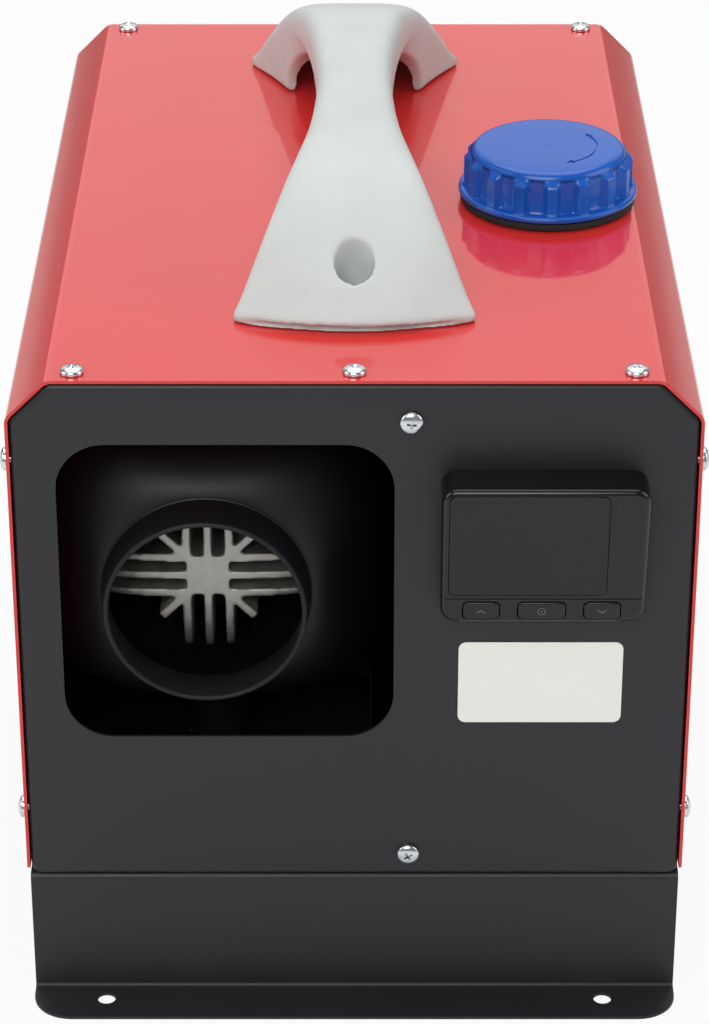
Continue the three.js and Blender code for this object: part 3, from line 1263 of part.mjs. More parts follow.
// One pitched blade of the warm-air fan, standing on its hub.
function makeAirFan() {
  const span = AIR_FAN_RADIUS - HUB_RADIUS + BLADE_ROOT;
  const camber = new THREE.Shape();
  const half = AIR_FAN_CHORD / 2;
  camber.moveTo(-half, 0);
  camber.quadraticCurveTo(0, AIR_FAN_CAMBER, half, 0);
  camber.lineTo(half, BLADE_THICKNESS);
  camber.quadraticCurveTo(0, AIR_FAN_CAMBER + BLADE_BELLY, -half, BLADE_THICKNESS);
  camber.closePath();
  const blade = new THREE.ExtrudeGeometry(camber, { depth: span, curveSegments: 2, bevelEnabled: false });
  blade.translate(0, -BLADE_DROP, HUB_RADIUS - BLADE_ROOT);
  blade.rotateZ(THREE.MathUtils.degToRad(AIR_FAN_PITCH));
  const middle = (AIR_FAN_FRONT + AIR_FAN_BACK) / 2;
  blade.translate(0, middle, 0);
  const rim = rod('y', AIR_FAN_RADIUS, [AIR_FAN_FRONT, AIR_FAN_BACK], [0, 0, 0], LARGE_SIDES);
  const blades = Array.from({ length: AIR_FAN_BLADES }, (_, i) =>
    toSolid(blade.clone().rotateY((i * 2 * Math.PI) / AIR_FAN_BLADES)));
  const hub = revolve('y', [
    [0, AIR_FAN_FRONT],
    [HUB_RADIUS, AIR_FAN_FRONT],
    [HUB_RADIUS, AIR_FAN_BACK - SPINNER_LENGTH],
    [SPINNER_RADIUS, AIR_FAN_BACK],
    [0, AIR_FAN_BACK],
  ], ROUND_SIDES);
  const bore = rod('y', BORE, [AIR_FAN_FRONT - OVERCUT, AIR_FAN_BACK + OVERCUT], [0, 0, 0]);
  return cut(join(hub, common(join(...blades), rim)), bore);
}
addPart('warm_air_fan', makeAirFan(), blackPlastic(), { parent: heaterUnit });

// The burner's fan: a back plate with curved vanes.
function makeBurnerFan() {
  const plate = [BURNER_FAN_BACK - BURNER_FAN_PLATE, BURNER_FAN_BACK];
  const disc = rod('y', BURNER_FAN_RADIUS, plate, [0, 0, 0], ROUND_SIDES);
  const hub = rod('y', BURNER_FAN_HUB_RADIUS, [BURNER_FAN_FRONT, BURNER_FAN_BACK], [0, 0, 0]);
  const vane = new THREE.Shape();
  const root = BURNER_FAN_HUB_RADIUS - VANE_HALF;
  const tip = BURNER_FAN_RADIUS - VANE_HALF;
  vane.moveTo(root, -VANE_HALF);
  vane.quadraticCurveTo(BURNER_FAN_RADIUS / 2, -VANE_HALF, tip, VANE_SWEEP);
  vane.lineTo(tip, VANE_SWEEP + 2 * VANE_HALF);
  vane.quadraticCurveTo(BURNER_FAN_RADIUS / 2, VANE_HALF, root, VANE_HALF);
  vane.closePath();
  const upright = prism('y', vane, [BURNER_FAN_FRONT, BURNER_FAN_BACK - FUSE], 2);
  const vanes = Array.from({ length: BURNER_FAN_BLADES }, (_, i) =>
    turned(upright, (i * 2 * Math.PI) / BURNER_FAN_BLADES));
  const within = rod('y', BURNER_FAN_RADIUS, [BURNER_FAN_FRONT, BURNER_FAN_BACK], [0, 0, 0], ROUND_SIDES);
  const bore = rod('y', BORE, [BURNER_FAN_FRONT - OVERCUT, BURNER_FAN_BACK + OVERCUT], [0, 0, 0]);
  return cut(join(disc, hub, common(join(...vanes), within)), bore);
}
addPart('burner_air_fan', makeBurnerFan(), blackPlastic(), { parent: heaterUnit });

// ---------------------------------------------------------------- heater control board

function makeHeaterBoard() {
  const half = BOARD_WIDTH / 2;
  const [front, back] = BOARD_SPAN;
  const board = block([-half, half], BOARD_SPAN, [BOARD_Z, BOARD_Z + BOARD_THICKNESS]);
  const hanging = (x, y, width, depth, height) =>
    block([x, x + width], [y, y + depth], [BOARD_Z - height, BOARD_Z + FUSE]);
  const left = -half + COMPONENT_MARGIN;
  const nearest = front + COMPONENT_MARGIN;
  const relay = hanging(left, nearest, RELAY_SIZE, RELAY_SIZE, RELAY_HEIGHT);
  const chip = hanging(half - COMPONENT_MARGIN - CHIP_SIZE, nearest, CHIP_SIZE, CHIP_SIZE, CHIP_HEIGHT);
  const plugY = back - POST_INSET - PLUG_BLOCK_DEPTH;
  const plugBlock = hanging(left, plugY, -2 * left, PLUG_BLOCK_DEPTH, PLUG_BLOCK_HEIGHT);
  return join(board, relay, plugBlock, chip);
}
addPart('control_board', makeHeaterBoard(), greenBoard(), { parent: heaterUnit });

// ---------------------------------------------------------------- fuel tank, filler and cap

const filler = new THREE.Group();
filler.position.set(FILLER_X, FILLER_Y, ROOF);
heater.add(filler);

const SEAL_TOP = CAP_TOP - CAP_ROOF - GAP;
const NECK_RIM = SEAL_TOP - SEAL_THICKNESS - GAP;

function tankBody(inset) {
  const width = TANK_RIGHT - TANK_LEFT - 2 * inset;
  const middle = (TANK_LEFT + TANK_RIGHT) / 2;
  const plan = roundedRectangle(width, TANK_LENGTH - 2 * inset, TANK_CORNER - inset, middle, 0);
  const edge = TANK_EDGE - inset;
  const bevel = {
    bevelEnabled: true,
    bevelThickness: edge,
    bevelSize: edge,
    bevelOffset: -edge,
    bevelSegments: 1,
  };
  const low = TANK_BASE + inset + edge;
  const high = TANK_TOP - inset - edge;
  return prism('z', plan, [low, high], 1, bevel);
}

function makeTank() {
  const rim = ROOF + NECK_RIM;
  const shoulder = TANK_TOP - TANK_WALL;
  const centre = [FILLER_X, FILLER_Y, 0];
  const neck = rod('z', NECK_RADIUS, [shoulder, rim], centre, ROUND_SIDES);
  const mouth = rod('z', NECK_RADIUS - NECK_WALL, [shoulder - OVERCUT, rim + OVERCUT], centre, ROUND_SIDES);
  const bossEnd = TANK_LEFT + TANK_WALL + OUTLET_BOSS;
  const boss = rod('x', OUTLET_COLLAR_RADIUS, [TANK_LEFT + FUSE, bossEnd], [0, OUTLET_Y, LINE_Z]);
  const seat = rod('x', OUTLET_RADIUS + GAP, [TANK_LEFT - OVERCUT, bossEnd + OVERCUT], [0, OUTLET_Y, LINE_Z]);
  return cut(join(cut(tankBody(0), tankBody(TANK_WALL)), neck, boss), mouth, seat);
}
addPart('fuel_tank', makeTank(), whitePolymer());

function makeGrommet() {
  const inner = NECK_RADIUS + GAP;
  const under = -SHEET - GAP;
  return revolve('z', [
    [inner, GAP + GROMMET_RISE],
    [GROMMET_RADIUS - GROMMET_EDGE, GAP + GROMMET_RISE],
    [GROMMET_RADIUS, GAP + GROMMET_RISE - GROMMET_EDGE],
    [GROMMET_RADIUS, GAP],
    [GROMMET_WAIST, GAP],
    [GROMMET_WAIST, under],
    [GROMMET_WAIST + GROMMET_LIP, under],
    [GROMMET_WAIST + GROMMET_LIP / 2, under - GROMMET_LIP],
    [inner, under - GROMMET_LIP],
    [inner, GAP + GROMMET_RISE],
  ], ROUND_SIDES);
}
addPart('filler_grommet', makeGrommet(), blackRubber(), { parent: filler });

const sealBore = NECK_RADIUS - NECK_WALL - SEAL_OVERHANG;
const seal = revolve('z', [
  [sealBore, NECK_RIM + GAP],
  [NECK_RADIUS, NECK_RIM + GAP],
  [NECK_RADIUS, SEAL_TOP],
  [sealBore, SEAL_TOP],
  [sealBore, NECK_RIM + GAP],
], ROUND_SIDES);
addPart('cap_seal', seal, blackRubber(), { parent: filler });

function makeCap() {
  const low = 2 * GAP + GROMMET_RISE;
  const bore = NECK_RADIUS + 2 * GAP;
  const shoulder = low + CAP_FLANGE;
  const roundMiddle = CAP_ROUND * (1 - Math.SQRT1_2);
  const profile = [
    [0, CAP_TOP],
    [CAP_RADIUS - CAP_ROUND, CAP_TOP],
    [CAP_RADIUS - roundMiddle, CAP_TOP - roundMiddle],
    [CAP_RADIUS, CAP_TOP - CAP_ROUND],
    [CAP_RADIUS, shoulder],
    [CAP_FLANGE_RADIUS - CAP_EDGE, shoulder],
    [CAP_FLANGE_RADIUS, shoulder - CAP_EDGE],
    [CAP_FLANGE_RADIUS, low],
    [bore, low],
    [bore, SEAL_TOP + GAP],
    [0, SEAL_TOP + GAP],
  ];
  const ribTop = CAP_TOP - CAP_RIB_DROP;
  const half = CAP_RIB_WIDTH / 2;
  const outer = CAP_RADIUS + CAP_RIB_PROUD;
  const ribPlan = new THREE.Shape([
    point(CAP_RADIUS - CAP_RIB_ROOT, -half - CAP_RIB_DRAFT),
    point(outer, -half + CAP_RIB_DRAFT),
    point(outer, half - CAP_RIB_DRAFT),
    point(CAP_RADIUS - CAP_RIB_ROOT, half + CAP_RIB_DRAFT),
  ]);
  const rib = toGeometry(prism('z', ribPlan, [shoulder - CAP_RIB_ROOT, ribTop], 1));
  const ribs = Array.from({ length: CAP_RIBS }, (_, i) =>
    toSolid(rib.clone().rotateZ(((i + 0.5) * 2 * Math.PI) / CAP_RIBS)));
  return join(revolve('z', profile), ...ribs);
}
addPart('fuel_cap', makeCap(), bluePlastic(), { parent: filler });

// ---------------------------------------------------------------- fuel line

const outletTip = TANK_LEFT - OUTLET_LENGTH;
const outlet = join(
  rod('x', OUTLET_RADIUS, [outletTip, TANK_LEFT + TANK_WALL], [0, 0, 0]),
  rod('x', OUTLET_FLANGE_RADIUS, [TANK_LEFT - OUTLET_FLANGE, TANK_LEFT - GAP], [0, 0, 0]),
);
addPart('tank_outlet', outlet, brass(), { position: [0, OUTLET_Y, LINE_Z] });

// A hose is a round section swept along a curve.
function hose(curve, steps) {
  const section = new THREE.Shape();
  section.absarc(0, 0, HOSE_RADIUS, 0, 2 * Math.PI, false);
  const options = { steps, curveSegments: 4, bevelEnabled: false, extrudePath: curve };
  return toSolid(new THREE.ExtrudeGeometry(section, options));
}

const at = (x, y, z) => new THREE.Vector3(x, y, z);
const filterIn = OUTLET_Y - TURN_LENGTH;
const filterOut = filterIn - FILTER_LENGTH;
const hoseStart = outletTip - GAP;
const suction = new THREE.CubicBezierCurve3(
  at(hoseStart, OUTLET_Y, LINE_Z),
  at(hoseStart - TURN_LENGTH / 2, OUTLET_Y, LINE_Z),
  at(LINE_X, OUTLET_Y - TURN_LENGTH / 3, LINE_Z),
  at(LINE_X, filterIn + GAP, LINE_Z),
);
addPart('suction_hose', hose(suction, 5), blackRubber());

const filter = revolve('y', [
  [0, -FILTER_LENGTH],
  [BARB_RADIUS, -FILTER_LENGTH],
  [BARB_RADIUS, -FILTER_LENGTH + FILTER_NECK],
  [FILTER_RADIUS, -FILTER_LENGTH + FILTER_SHOULDER],
  [FILTER_RADIUS, -FILTER_SHOULDER],
  [BARB_RADIUS, -FILTER_NECK],
  [BARB_RADIUS, 0],
  [0, 0],
], SMALL_SIDES);
addPart('fuel_filter', filter, whitePolymer(), { position: [LINE_X, filterIn, LINE_Z] });

const pumpIn = filterOut - FILTER_HOSE_LENGTH;
const pumpOut = pumpIn - PUMP_LENGTH;
const shortHose = new THREE.LineCurve3(at(LINE_X, filterOut - GAP, LINE_Z), at(LINE_X, pumpIn + GAP, LINE_Z));
addPart('filter_hose', hose(shortHose, 1), blackRubber());

const plungerBack = -PUMP_NOZZLE - PLUNGER_SETBACK;
function makePump() {
  const noseStart = -PUMP_LENGTH + PUMP_NOZZLE;
  const body = revolve('y', [
    [0, -PUMP_LENGTH],
    [BARB_RADIUS, -PUMP_LENGTH],
    [BARB_RADIUS, noseStart],
    [PUMP_NOSE_RADIUS, noseStart],
    [PUMP_NOSE_RADIUS, noseStart + PUMP_NOSE_LENGTH],
    [PUMP_RADIUS, noseStart + PUMP_NOSE_LENGTH],
    [PUMP_RADIUS, -PUMP_NOZZLE],
    [BARB_RADIUS, -PUMP_NOZZLE],
    [BARB_RADIUS, 0],
    [0, 0],
  ], SMALL_SIDES);
  const low = FLOOR + GAP - LINE_Z;
  const stand = [-PUMP_LENGTH / 2 - PUMP_STAND_WIDTH, -PUMP_LENGTH / 2 + PUMP_STAND_WIDTH];
  const foot = block([-PUMP_RADIUS, PUMP_RADIUS], stand, [low, low + PUMP_STAND_THICKNESS]);
  const web = block([-PUMP_STAND_THICKNESS, PUMP_STAND_THICKNESS], stand, [low, -PUMP_RADIUS / 2]);
  const boreSpan = [plungerBack - PLUNGER_LENGTH - PLUNGER_ROOM, plungerBack + GAP];
  const bore = rod('y', PUMP_BORE, boreSpan, [0, 0, 0]);
  const passage = rod('y', PUMP_PASSAGE, [-PUMP_LENGTH - OVERCUT, OVERCUT], [0, 0, 0], HOLE_SIDES);
  return cut(join(body, foot, web), bore, passage);
}
addPart('dosing_pump', makePump(), zincSteel(), { position: [LINE_X, pumpIn, LINE_Z] });
const plunger = rod('y', PLUNGER_RADIUS, [plungerBack - PLUNGER_LENGTH, plungerBack], [0, 0, 0]);
addPart('pump_plunger', plunger, brass(), { position: [LINE_X, pumpIn, LINE_Z] });

const nippleTip = HEATER_Z + CASING_BOTTOM - FUEL_NIPPLE_LENGTH;
const fuelY = FACE + FUEL_SETBACK;
const pressure = new THREE.CubicBezierCurve3(
  at(LINE_X, pumpOut - GAP, LINE_Z),
  at(LINE_X, pumpOut - 2 * TURN_LENGTH, LINE_Z),
  at(HEATER_X, fuelY, nippleTip - 2 * TURN_LENGTH),
  at(HEATER_X, fuelY, nippleTip - GAP),
);
addPart('pressure_hose', hose(pressure, 8), blackRubber());

// ---------------------------------------------------------------- rear grille and gland

function makeGrille() {
  const flangeOut = BACK + GAP + GRILLE_FLANGE;
  const inner = INTAKE_RADIUS - GRILLE_WALL;
  const sleeve = CASING_BACK + GAP;
  const frame = revolve('y', [
    [inner, sleeve],
    [INTAKE_RADIUS, sleeve],
    [INTAKE_RADIUS, BACK + GAP],
    [GRILLE_FLANGE_RADIUS, BACK + GAP],
    [GRILLE_FLANGE_RADIUS - GRILLE_EDGE, flangeOut],
    [inner, flangeOut],
    [inner, sleeve],
  ], DOME_SIDES);
  const bars = [BACK, BACK + GRILLE_FLANGE];
  const pitch = inner / (GRILLE_RINGS + 0.5);
  const rings = Array.from({ length: GRILLE_RINGS }, (_, i) => {
    const a = pitch * (i + 0.5);
    const b = a + GRILLE_BAR;
    return revolve('y', [[a, bars[0]], [b, bars[0]], [b, bars[1]], [a, bars[1]], [a, bars[0]]], RING_SIDES);
  });
  const spokes = Array.from({ length: GRILLE_SPOKES / 2 }, (_, i) => {
    const bar = block([-inner - FUSE, inner + FUSE], bars, [-GRILLE_BAR / 2, GRILLE_BAR / 2]);
    return turned(bar, (i * 2 * Math.PI) / GRILLE_SPOKES);
  });
  return join(frame, ...rings, ...spokes);
}
addPart('intake_grille', makeGrille(), blackPlastic(), { parent: heaterUnit });

const gland = cut(
  join(
    revolve('y', [
      [0, -SHEET - GLAND_TAIL],
      [GLAND_RADIUS, -SHEET - GLAND_TAIL],
      [GLAND_RADIUS, GLAND_DOME_START],
      [GLAND_BORE + GLAND_MOUTH, GLAND_LENGTH],
      [0, GLAND_LENGTH],
    ], SMALL_SIDES),
    rod('y', GLAND_NUT_RADIUS, [GAP, GLAND_NUT_THICKNESS], [0, 0, 0], 6),
  ),
  rod('y', GLAND_BORE, [-SHEET - GLAND_TAIL - OVERCUT, GLAND_LENGTH + OVERCUT], [0, 0, 0]),
);
addPart('cable_gland', gland, blackPlastic(), { position: [GLAND_X, BACK, FLOOR + GLAND_RISE] });

export default heater;
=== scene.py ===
# %% [markdown]
# # A portable diesel air heater
#
# The object is a sheet-metal case: a red cover bent over two black end panels, on a black base
# with two feet. A grey moulded handle and a blue fuel cap sit on top. The warm air leaves through
# a round collar in the front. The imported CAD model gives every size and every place, so it is
# loaded first, and each finished piece is built round its numbers.

# %% Load the frame
import math

import bmesh
import bpy
from mathutils import Matrix, Vector


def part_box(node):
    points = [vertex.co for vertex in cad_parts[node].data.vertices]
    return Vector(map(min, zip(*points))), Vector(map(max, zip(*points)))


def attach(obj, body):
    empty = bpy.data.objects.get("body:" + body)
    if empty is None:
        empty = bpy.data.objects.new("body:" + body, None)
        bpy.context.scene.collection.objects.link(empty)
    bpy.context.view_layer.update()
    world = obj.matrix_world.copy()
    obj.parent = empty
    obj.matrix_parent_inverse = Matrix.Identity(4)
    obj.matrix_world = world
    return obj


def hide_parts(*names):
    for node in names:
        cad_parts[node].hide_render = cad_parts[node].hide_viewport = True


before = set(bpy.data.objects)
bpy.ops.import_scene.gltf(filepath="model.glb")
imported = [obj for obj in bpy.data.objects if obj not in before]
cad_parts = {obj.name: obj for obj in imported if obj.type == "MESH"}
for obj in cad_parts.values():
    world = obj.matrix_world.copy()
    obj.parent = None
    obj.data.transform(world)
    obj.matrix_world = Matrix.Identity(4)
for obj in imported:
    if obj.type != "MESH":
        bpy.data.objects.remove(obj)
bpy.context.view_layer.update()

# %% [markdown]
# Shapes are easier to think of in millimetres, so every mesh is drawn in millimetres and scaled to
# metres when it is finished. `box_mm` reads a CAD node's lowest and highest corner. The planes that
# most pieces share are taken from it once.

# %% Shared sizes
MM = 0.001
GAP = 0.3
SHEET = 1.2


def box_mm(node):
    low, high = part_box(node)
    return low / MM, high / MM


def centre_mm(node):
    low, high = box_mm(node)
    return (low + high) / 2


cover_low, cover_high = box_mm("top_cover")
panel_low, panel_high = box_mm("front_panel")
base_low, base_high = box_mm("base_bracket")
SIDE = cover_high.x
ROOF = cover_high.z
FACE = cover_low.y
BACK = cover_high.y
FLOOR = panel_low.z - GAP
HEATER = centre_mm("intake_grille")
print(f"case {2 * SIDE:.0f} x {BACK - FACE:.0f} mm, roof at {ROOF:.0f} mm, floor at {FLOOR:.0f} mm")

# %% [markdown]
# ## Materials
#
# Powder paint, moulded plastic and zinc plate all differ in three things that the eye reads at
# once: how sharp the reflection is, how fine the grain is, and how much the gloss varies. One
# helper sets those on the Principled shader. The grain is a noise on Object coordinates that feeds
# a Bump node, so that it has the same scale on every piece. A second, larger noise varies the
# roughness and mottles the colour a little.


# %% Material helper
NOISE_RANGE = (0.3, 0.7)
GRAIN_HEIGHT = MM / 5


def set_inputs(node, **values):
    """Sets a shader node's inputs by name; an underscore stands for a space."""
    for name, value in values.items():
        node.inputs[name.replace("_", " ")].default_value = value
    return node


def finish_material(name, colour, roughness, metallic=0.0, coat=0.0, coat_roughness=0.1,
                    grain=0.0, grain_scale=900.0, mottle=0.06, mottle_scale=35.0,
                    gloss_change=0.06, specular=0.5):
    material = bpy.data.materials.new(name)
    material.use_nodes = True
    nodes = material.node_tree.nodes
    links = material.node_tree.links
    shader = set_inputs(nodes["Principled BSDF"], Metallic=metallic, Specular_IOR_Level=specular,
                        Coat_Weight=coat, Coat_Roughness=coat_roughness)

    place = nodes.new("ShaderNodeTexCoord")
    cloud = set_inputs(nodes.new("ShaderNodeTexNoise"), Scale=mottle_scale, Detail=4.0)
    links.new(place.outputs["Object"], cloud.inputs["Vector"])

    tint = nodes.new("ShaderNodeValToRGB")
    for stop, at, change in zip(tint.color_ramp.elements, NOISE_RANGE, (-mottle, mottle)):
        stop.position = at
        stop.color = (*(min(channel * (1 + change), 1.0) for channel in colour), 1)
    links.new(cloud.outputs["Fac"], tint.inputs["Fac"])
    links.new(tint.outputs["Color"], shader.inputs["Base Color"])

    sheen_map = set_inputs(nodes.new("ShaderNodeMapRange"), From_Min=NOISE_RANGE[0],
                           From_Max=NOISE_RANGE[1], To_Min=roughness - gloss_change / 2,
                           To_Max=roughness + gloss_change / 2)
    links.new(cloud.outputs["Fac"], sheen_map.inputs["Value"])
    links.new(sheen_map.outputs["Result"], shader.inputs["Roughness"])

    if grain:
        grit = set_inputs(nodes.new("ShaderNodeTexNoise"), Scale=grain_scale, Detail=3.0)
        links.new(place.outputs["Object"], grit.inputs["Vector"])
        bump = set_inputs(nodes.new("ShaderNodeBump"), Strength=grain, Distance=GRAIN_HEIGHT)
        links.new(grit.outputs["Fac"], bump.inputs["Height"])
        links.new(bump.outputs["Normal"], shader.inputs["Normal"])
    return material


# %% The finishes
RED = finish_material("red_gloss_powder", (0.68, 0.028, 0.026), 0.35, coat=1.0, coat_roughness=0.05,
                      grain=0.04, grain_scale=260, mottle=0.015, specular=0.15)
BLACK = finish_material("black_satin_powder", (0.014, 0.0145, 0.018), 0.45, grain=0.25,
                        grain_scale=1400, mottle=0.08)
HANDLE_GREY = finish_material("grey_moulded_handle", (0.57, 0.60, 0.588), 0.48, grain=0.3,
                              grain_scale=1500, mottle=0.03, mottle_scale=60)
CAP_BLUE = finish_material("blue_moulded_cap", (0.005, 0.095, 0.48), 0.22, grain=0.05,
                           grain_scale=700, mottle=0.05)
ZINC = finish_material("bright_zinc_plate", (0.72, 0.75, 0.78), 0.22, metallic=1.0, grain=0.12,
                       grain_scale=1800, mottle=0.08, mottle_scale=300)
STEEL = finish_material("plain_steel", (0.42, 0.43, 0.44), 0.38, metallic=1.0, grain=0.2,
                        mottle=0.1)
MOULDED_BLACK = finish_material("black_moulded_housing", (0.010, 0.010, 0.012), 0.42, grain=0.3,
                                grain_scale=1700, mottle=0.08)
CONTROLLER_BLACK = finish_material("black_glossy_controller", (0.004, 0.004, 0.006), 0.4, coat=0.85,
                                   coat_roughness=0.16, grain=0.12, grain_scale=1700,
                                   mottle=0.06, specular=0.04)
HOOD_BLACK = finish_material("black_moulded_hood", (0.0045, 0.0045, 0.007), 0.52, grain=0.2,
                             grain_scale=800, mottle=0.1, specular=0.4)
WINDOW = finish_material("dark_display_window", (0.006, 0.006, 0.007), 0.16, mottle=0.02,
                         gloss_change=0.02, specular=0.42)
RUBBER = finish_material("black_rubber", (0.012, 0.012, 0.012), 0.75, grain=0.3, grain_scale=1100,
                         mottle=0.1)
LABEL = finish_material("ivory_label_film", (0.9, 0.9, 0.84), 0.45, grain=0.06,
                        mottle=0.006, mottle_scale=120)
CAST = finish_material("cast_aluminium", (0.47, 0.455, 0.42), 0.5, metallic=0.85, grain=0.7,
                       grain_scale=700, mottle=0.16, mottle_scale=160, gloss_change=0.15)
# Painted shade: the casting's body behind the front is nearly black, standing for the deep shade
# between the fins.
SHADED_CAST = finish_material("cast_aluminium_painted_shade", (0.03, 0.03, 0.03), 0.8, metallic=0.3, grain=0.5,
                            grain_scale=700, mottle=0.2, mottle_scale=160, specular=0.1)
# Painted shade: steel darkened to stand for the shade inside the case, where the stubs show through the
# cut-out.
SHADED_STEEL = finish_material("steel_darkened_painted_shade", (0.022, 0.022, 0.024), 0.7, metallic=0.4,
                             grain=0.2, mottle=0.1, specular=0.15)
# Partly the inner sheet's own black coat and partly painted shade: the inside is made this dark to
# stand for the shade in the case.
INSIDE_BLACK_AND_SHADE = finish_material("dull_black_inside_and_painted_shade", (0.006, 0.006, 0.007), 0.7, grain=0.2,
                               mottle=0.1, specular=0.15)
POLYMER = finish_material("natural_tank_polymer", (0.72, 0.7, 0.62), 0.5, grain=0.2,
                          grain_scale=500, mottle=0.04)
BOARD = finish_material("green_circuit_board", (0.02, 0.14, 0.05), 0.35, mottle=0.15,
                        mottle_scale=200)
BRASS = finish_material("turned_brass", (0.62, 0.45, 0.18), 0.28, metallic=1.0, mottle=0.08)
PRINT = finish_material("grey_button_print", (0.10, 0.10, 0.105), 0.5, mottle=0.05)
print("materials:", len(bpy.data.materials))

# %% [markdown]
# ## Helpers for finished pieces
#
# `finish_piece` turns a bmesh in millimetres into an object in metres, gives it its material,
# hangs it on the empty of the body that it rides on, and hides the CAD nodes that it stands for.
# Smooth shading with sharp edges by angle keeps flats flat. `carve` cuts one piece with others by a
# boolean and throws the cutters away. Its Manifold solver wants closed meshes, and repays that with
# clean cuts.


# %% Piece helpers
def to_object(name, shape):
    """Puts a bmesh into the scene as an object."""
    mesh = bpy.data.meshes.new(name)
    shape.to_mesh(mesh)
    shape.free()
    made = bpy.data.objects.new(name, mesh)
    bpy.context.scene.collection.objects.link(made)
    return made


def edge_round(piece, width, angle=50):
    """A live bevel that breaks the sharp edges, as paint and moulds do."""
    bevel = piece.modifiers.new("edge_round", "BEVEL")
    bevel.width = width * MM
    bevel.segments = 2
    bevel.limit_method = "ANGLE"
    bevel.angle_limit = math.radians(angle)
    bevel.harden_normals = True


def finish_piece(name, shape, material, replaces=(), body="case", sharp=35, bevel=0.0):
    bmesh.ops.scale(shape, vec=(MM, MM, MM), verts=shape.verts)
    piece = to_object(name, shape)
    piece.data.materials.append(material)
    piece.data.shade_smooth()
    piece.data.set_sharp_from_angle(angle=math.radians(sharp))
    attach(piece, body)
    if replaces:
        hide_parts(*replaces)
    if bevel:
        edge_round(piece, bevel)
    return piece


def used_up(work, cutters=()):
    """Applies an object's modifiers, removes it and its cutters, and returns the bmesh."""
    bpy.context.view_layer.update()
    result = work.evaluated_get(bpy.context.evaluated_depsgraph_get()).to_mesh()
    made = bmesh.new()
    made.from_mesh(result)
    for spent in [work, *cutters]:
        old = spent.data
        bpy.data.objects.remove(spent)
        bpy.data.meshes.remove(old)
    return made


def carve(shape, tools, operation="DIFFERENCE"):
    """Cuts, joins or meets a bmesh with others, and returns the new bmesh."""
    work = to_object("work", shape)
    cutters = [to_object("cutter", tool) for tool in tools]
    for cutter in cutters:
        modifier = work.modifiers.new("cut", "BOOLEAN")
        modifier.operation = operation
        modifier.solver = "MANIFOLD"
        modifier.object = cutter
    return used_up(work, cutters)


def sheet_solid(shape, thickness=SHEET):
    """Gives an open sheet its thickness, behind its face."""
    work = to_object("work", shape)
    solid = work.modifiers.new("thickness", "SOLIDIFY")
    solid.thickness = thickness
    solid.offset = -1
    solid.use_even_offset = True
    return used_up(work)


def melt(shape, voxel, rounds):
    """Rounds every edge and corner a little: a voxel remesh, then smoothing."""
    work = to_object("work", shape)
    remesh = work.modifiers.new("remesh", "REMESH")
    remesh.mode = "VOXEL"
    remesh.voxel_size = voxel
    smooth = work.modifiers.new("smooth", "SMOOTH")
    smooth.factor = 0.5
    smooth.iterations = rounds
    return used_up(work)


# %% Simple solids
AXIS_TURN = {
    "x": Matrix.Rotation(math.pi / 2, 4, "Y"),
    "y": Matrix.Rotation(-math.pi / 2, 4, "X"),
    "z": Matrix.Identity(4),
}


def rod(axis, radius, span, centre, segments=48, end_radius=None):
    """A cylinder or cone along an axis, from one distance to another."""
    shape = bmesh.new()
    far_radius = radius if end_radius is None else end_radius
    middle = Vector(centre)
    middle["xyz".index(axis)] = sum(span) / 2
    place = Matrix.Translation(middle) @ AXIS_TURN[axis]
    bmesh.ops.create_cone(shape, cap_ends=True, segments=segments, radius1=radius,
                          radius2=far_radius, depth=span[1] - span[0], matrix=place)
    return shape


def block(low, high):
    shape = bmesh.new()
    low, high = Vector(low), Vector(high)
    place = Matrix.Translation((low + high) / 2) @ Matrix.Diagonal((high - low).to_4d())
    place[3][3] = 1
    bmesh.ops.create_cube(shape, size=1, matrix=place)
    return shape


def outward(shape):
    """Turns every face of a closed shape outwards."""
    bmesh.ops.recalc_face_normals(shape, faces=shape.faces)
    return shape


def moved(shape, way):
    bmesh.ops.translate(shape, vec=way, verts=shape.verts)
    return shape


def turned(shape, angle, axis):
    bmesh.ops.rotate(shape, cent=(0, 0, 0), matrix=Matrix.Rotation(angle, 3, axis), verts=shape.verts)
    return shape


def placed(shape, matrix):
    bmesh.ops.transform(shape, matrix=matrix, verts=shape.verts)
    return shape


def round_angles(count):
    return [2 * math.pi * i / count for i in range(count)]


def quarter_angles(steps):
    return [math.pi / 2 * i / steps for i in range(steps + 1)]


def outline_face(shape, corners):
    """One flat face through a few corners."""
    shape.faces.new([shape.verts.new(corner) for corner in corners])


def chain(shape, places, closed=False):
    """A line or a ring of vertices and the edges that join them."""
    verts = [shape.verts.new(place) for place in places]
    after = verts[1:] + (verts[:1] if closed else [])
    return verts, [shape.edges.new(pair) for pair in zip(verts, after)]


def round_corners(shape, verts, offset, segments=6):
    bmesh.ops.bevel(shape, geom=list(verts), offset=offset, offset_type="OFFSET",
                    affect="VERTICES", segments=segments, profile=0.5, material=-1,
                    clamp_overlap=False)


def round_edges(shape, edges, offset, segments=4):
    bmesh.ops.bevel(shape, geom=list(edges), offset=offset, offset_type="OFFSET",
                    affect="EDGES", segments=segments, profile=0.5, material=-1,
                    clamp_overlap=True)


def shift_new(shape, made, way):
    """Moves the vertices that an extrude made."""
    fresh = [item for item in made["geom"] if isinstance(item, bmesh.types.BMVert)]
    bmesh.ops.translate(shape, vec=way, verts=fresh)


def push_out(shape, way):
    """Extrudes all faces along a direction."""
    shift_new(shape, bmesh.ops.extrude_face_region(shape, geom=list(shape.faces)), way)


def pull_edges(shape, edges, way):
    """Extrudes edges along a direction, into new faces."""
    shift_new(shape, bmesh.ops.extrude_edge_only(shape, edges=edges), way)


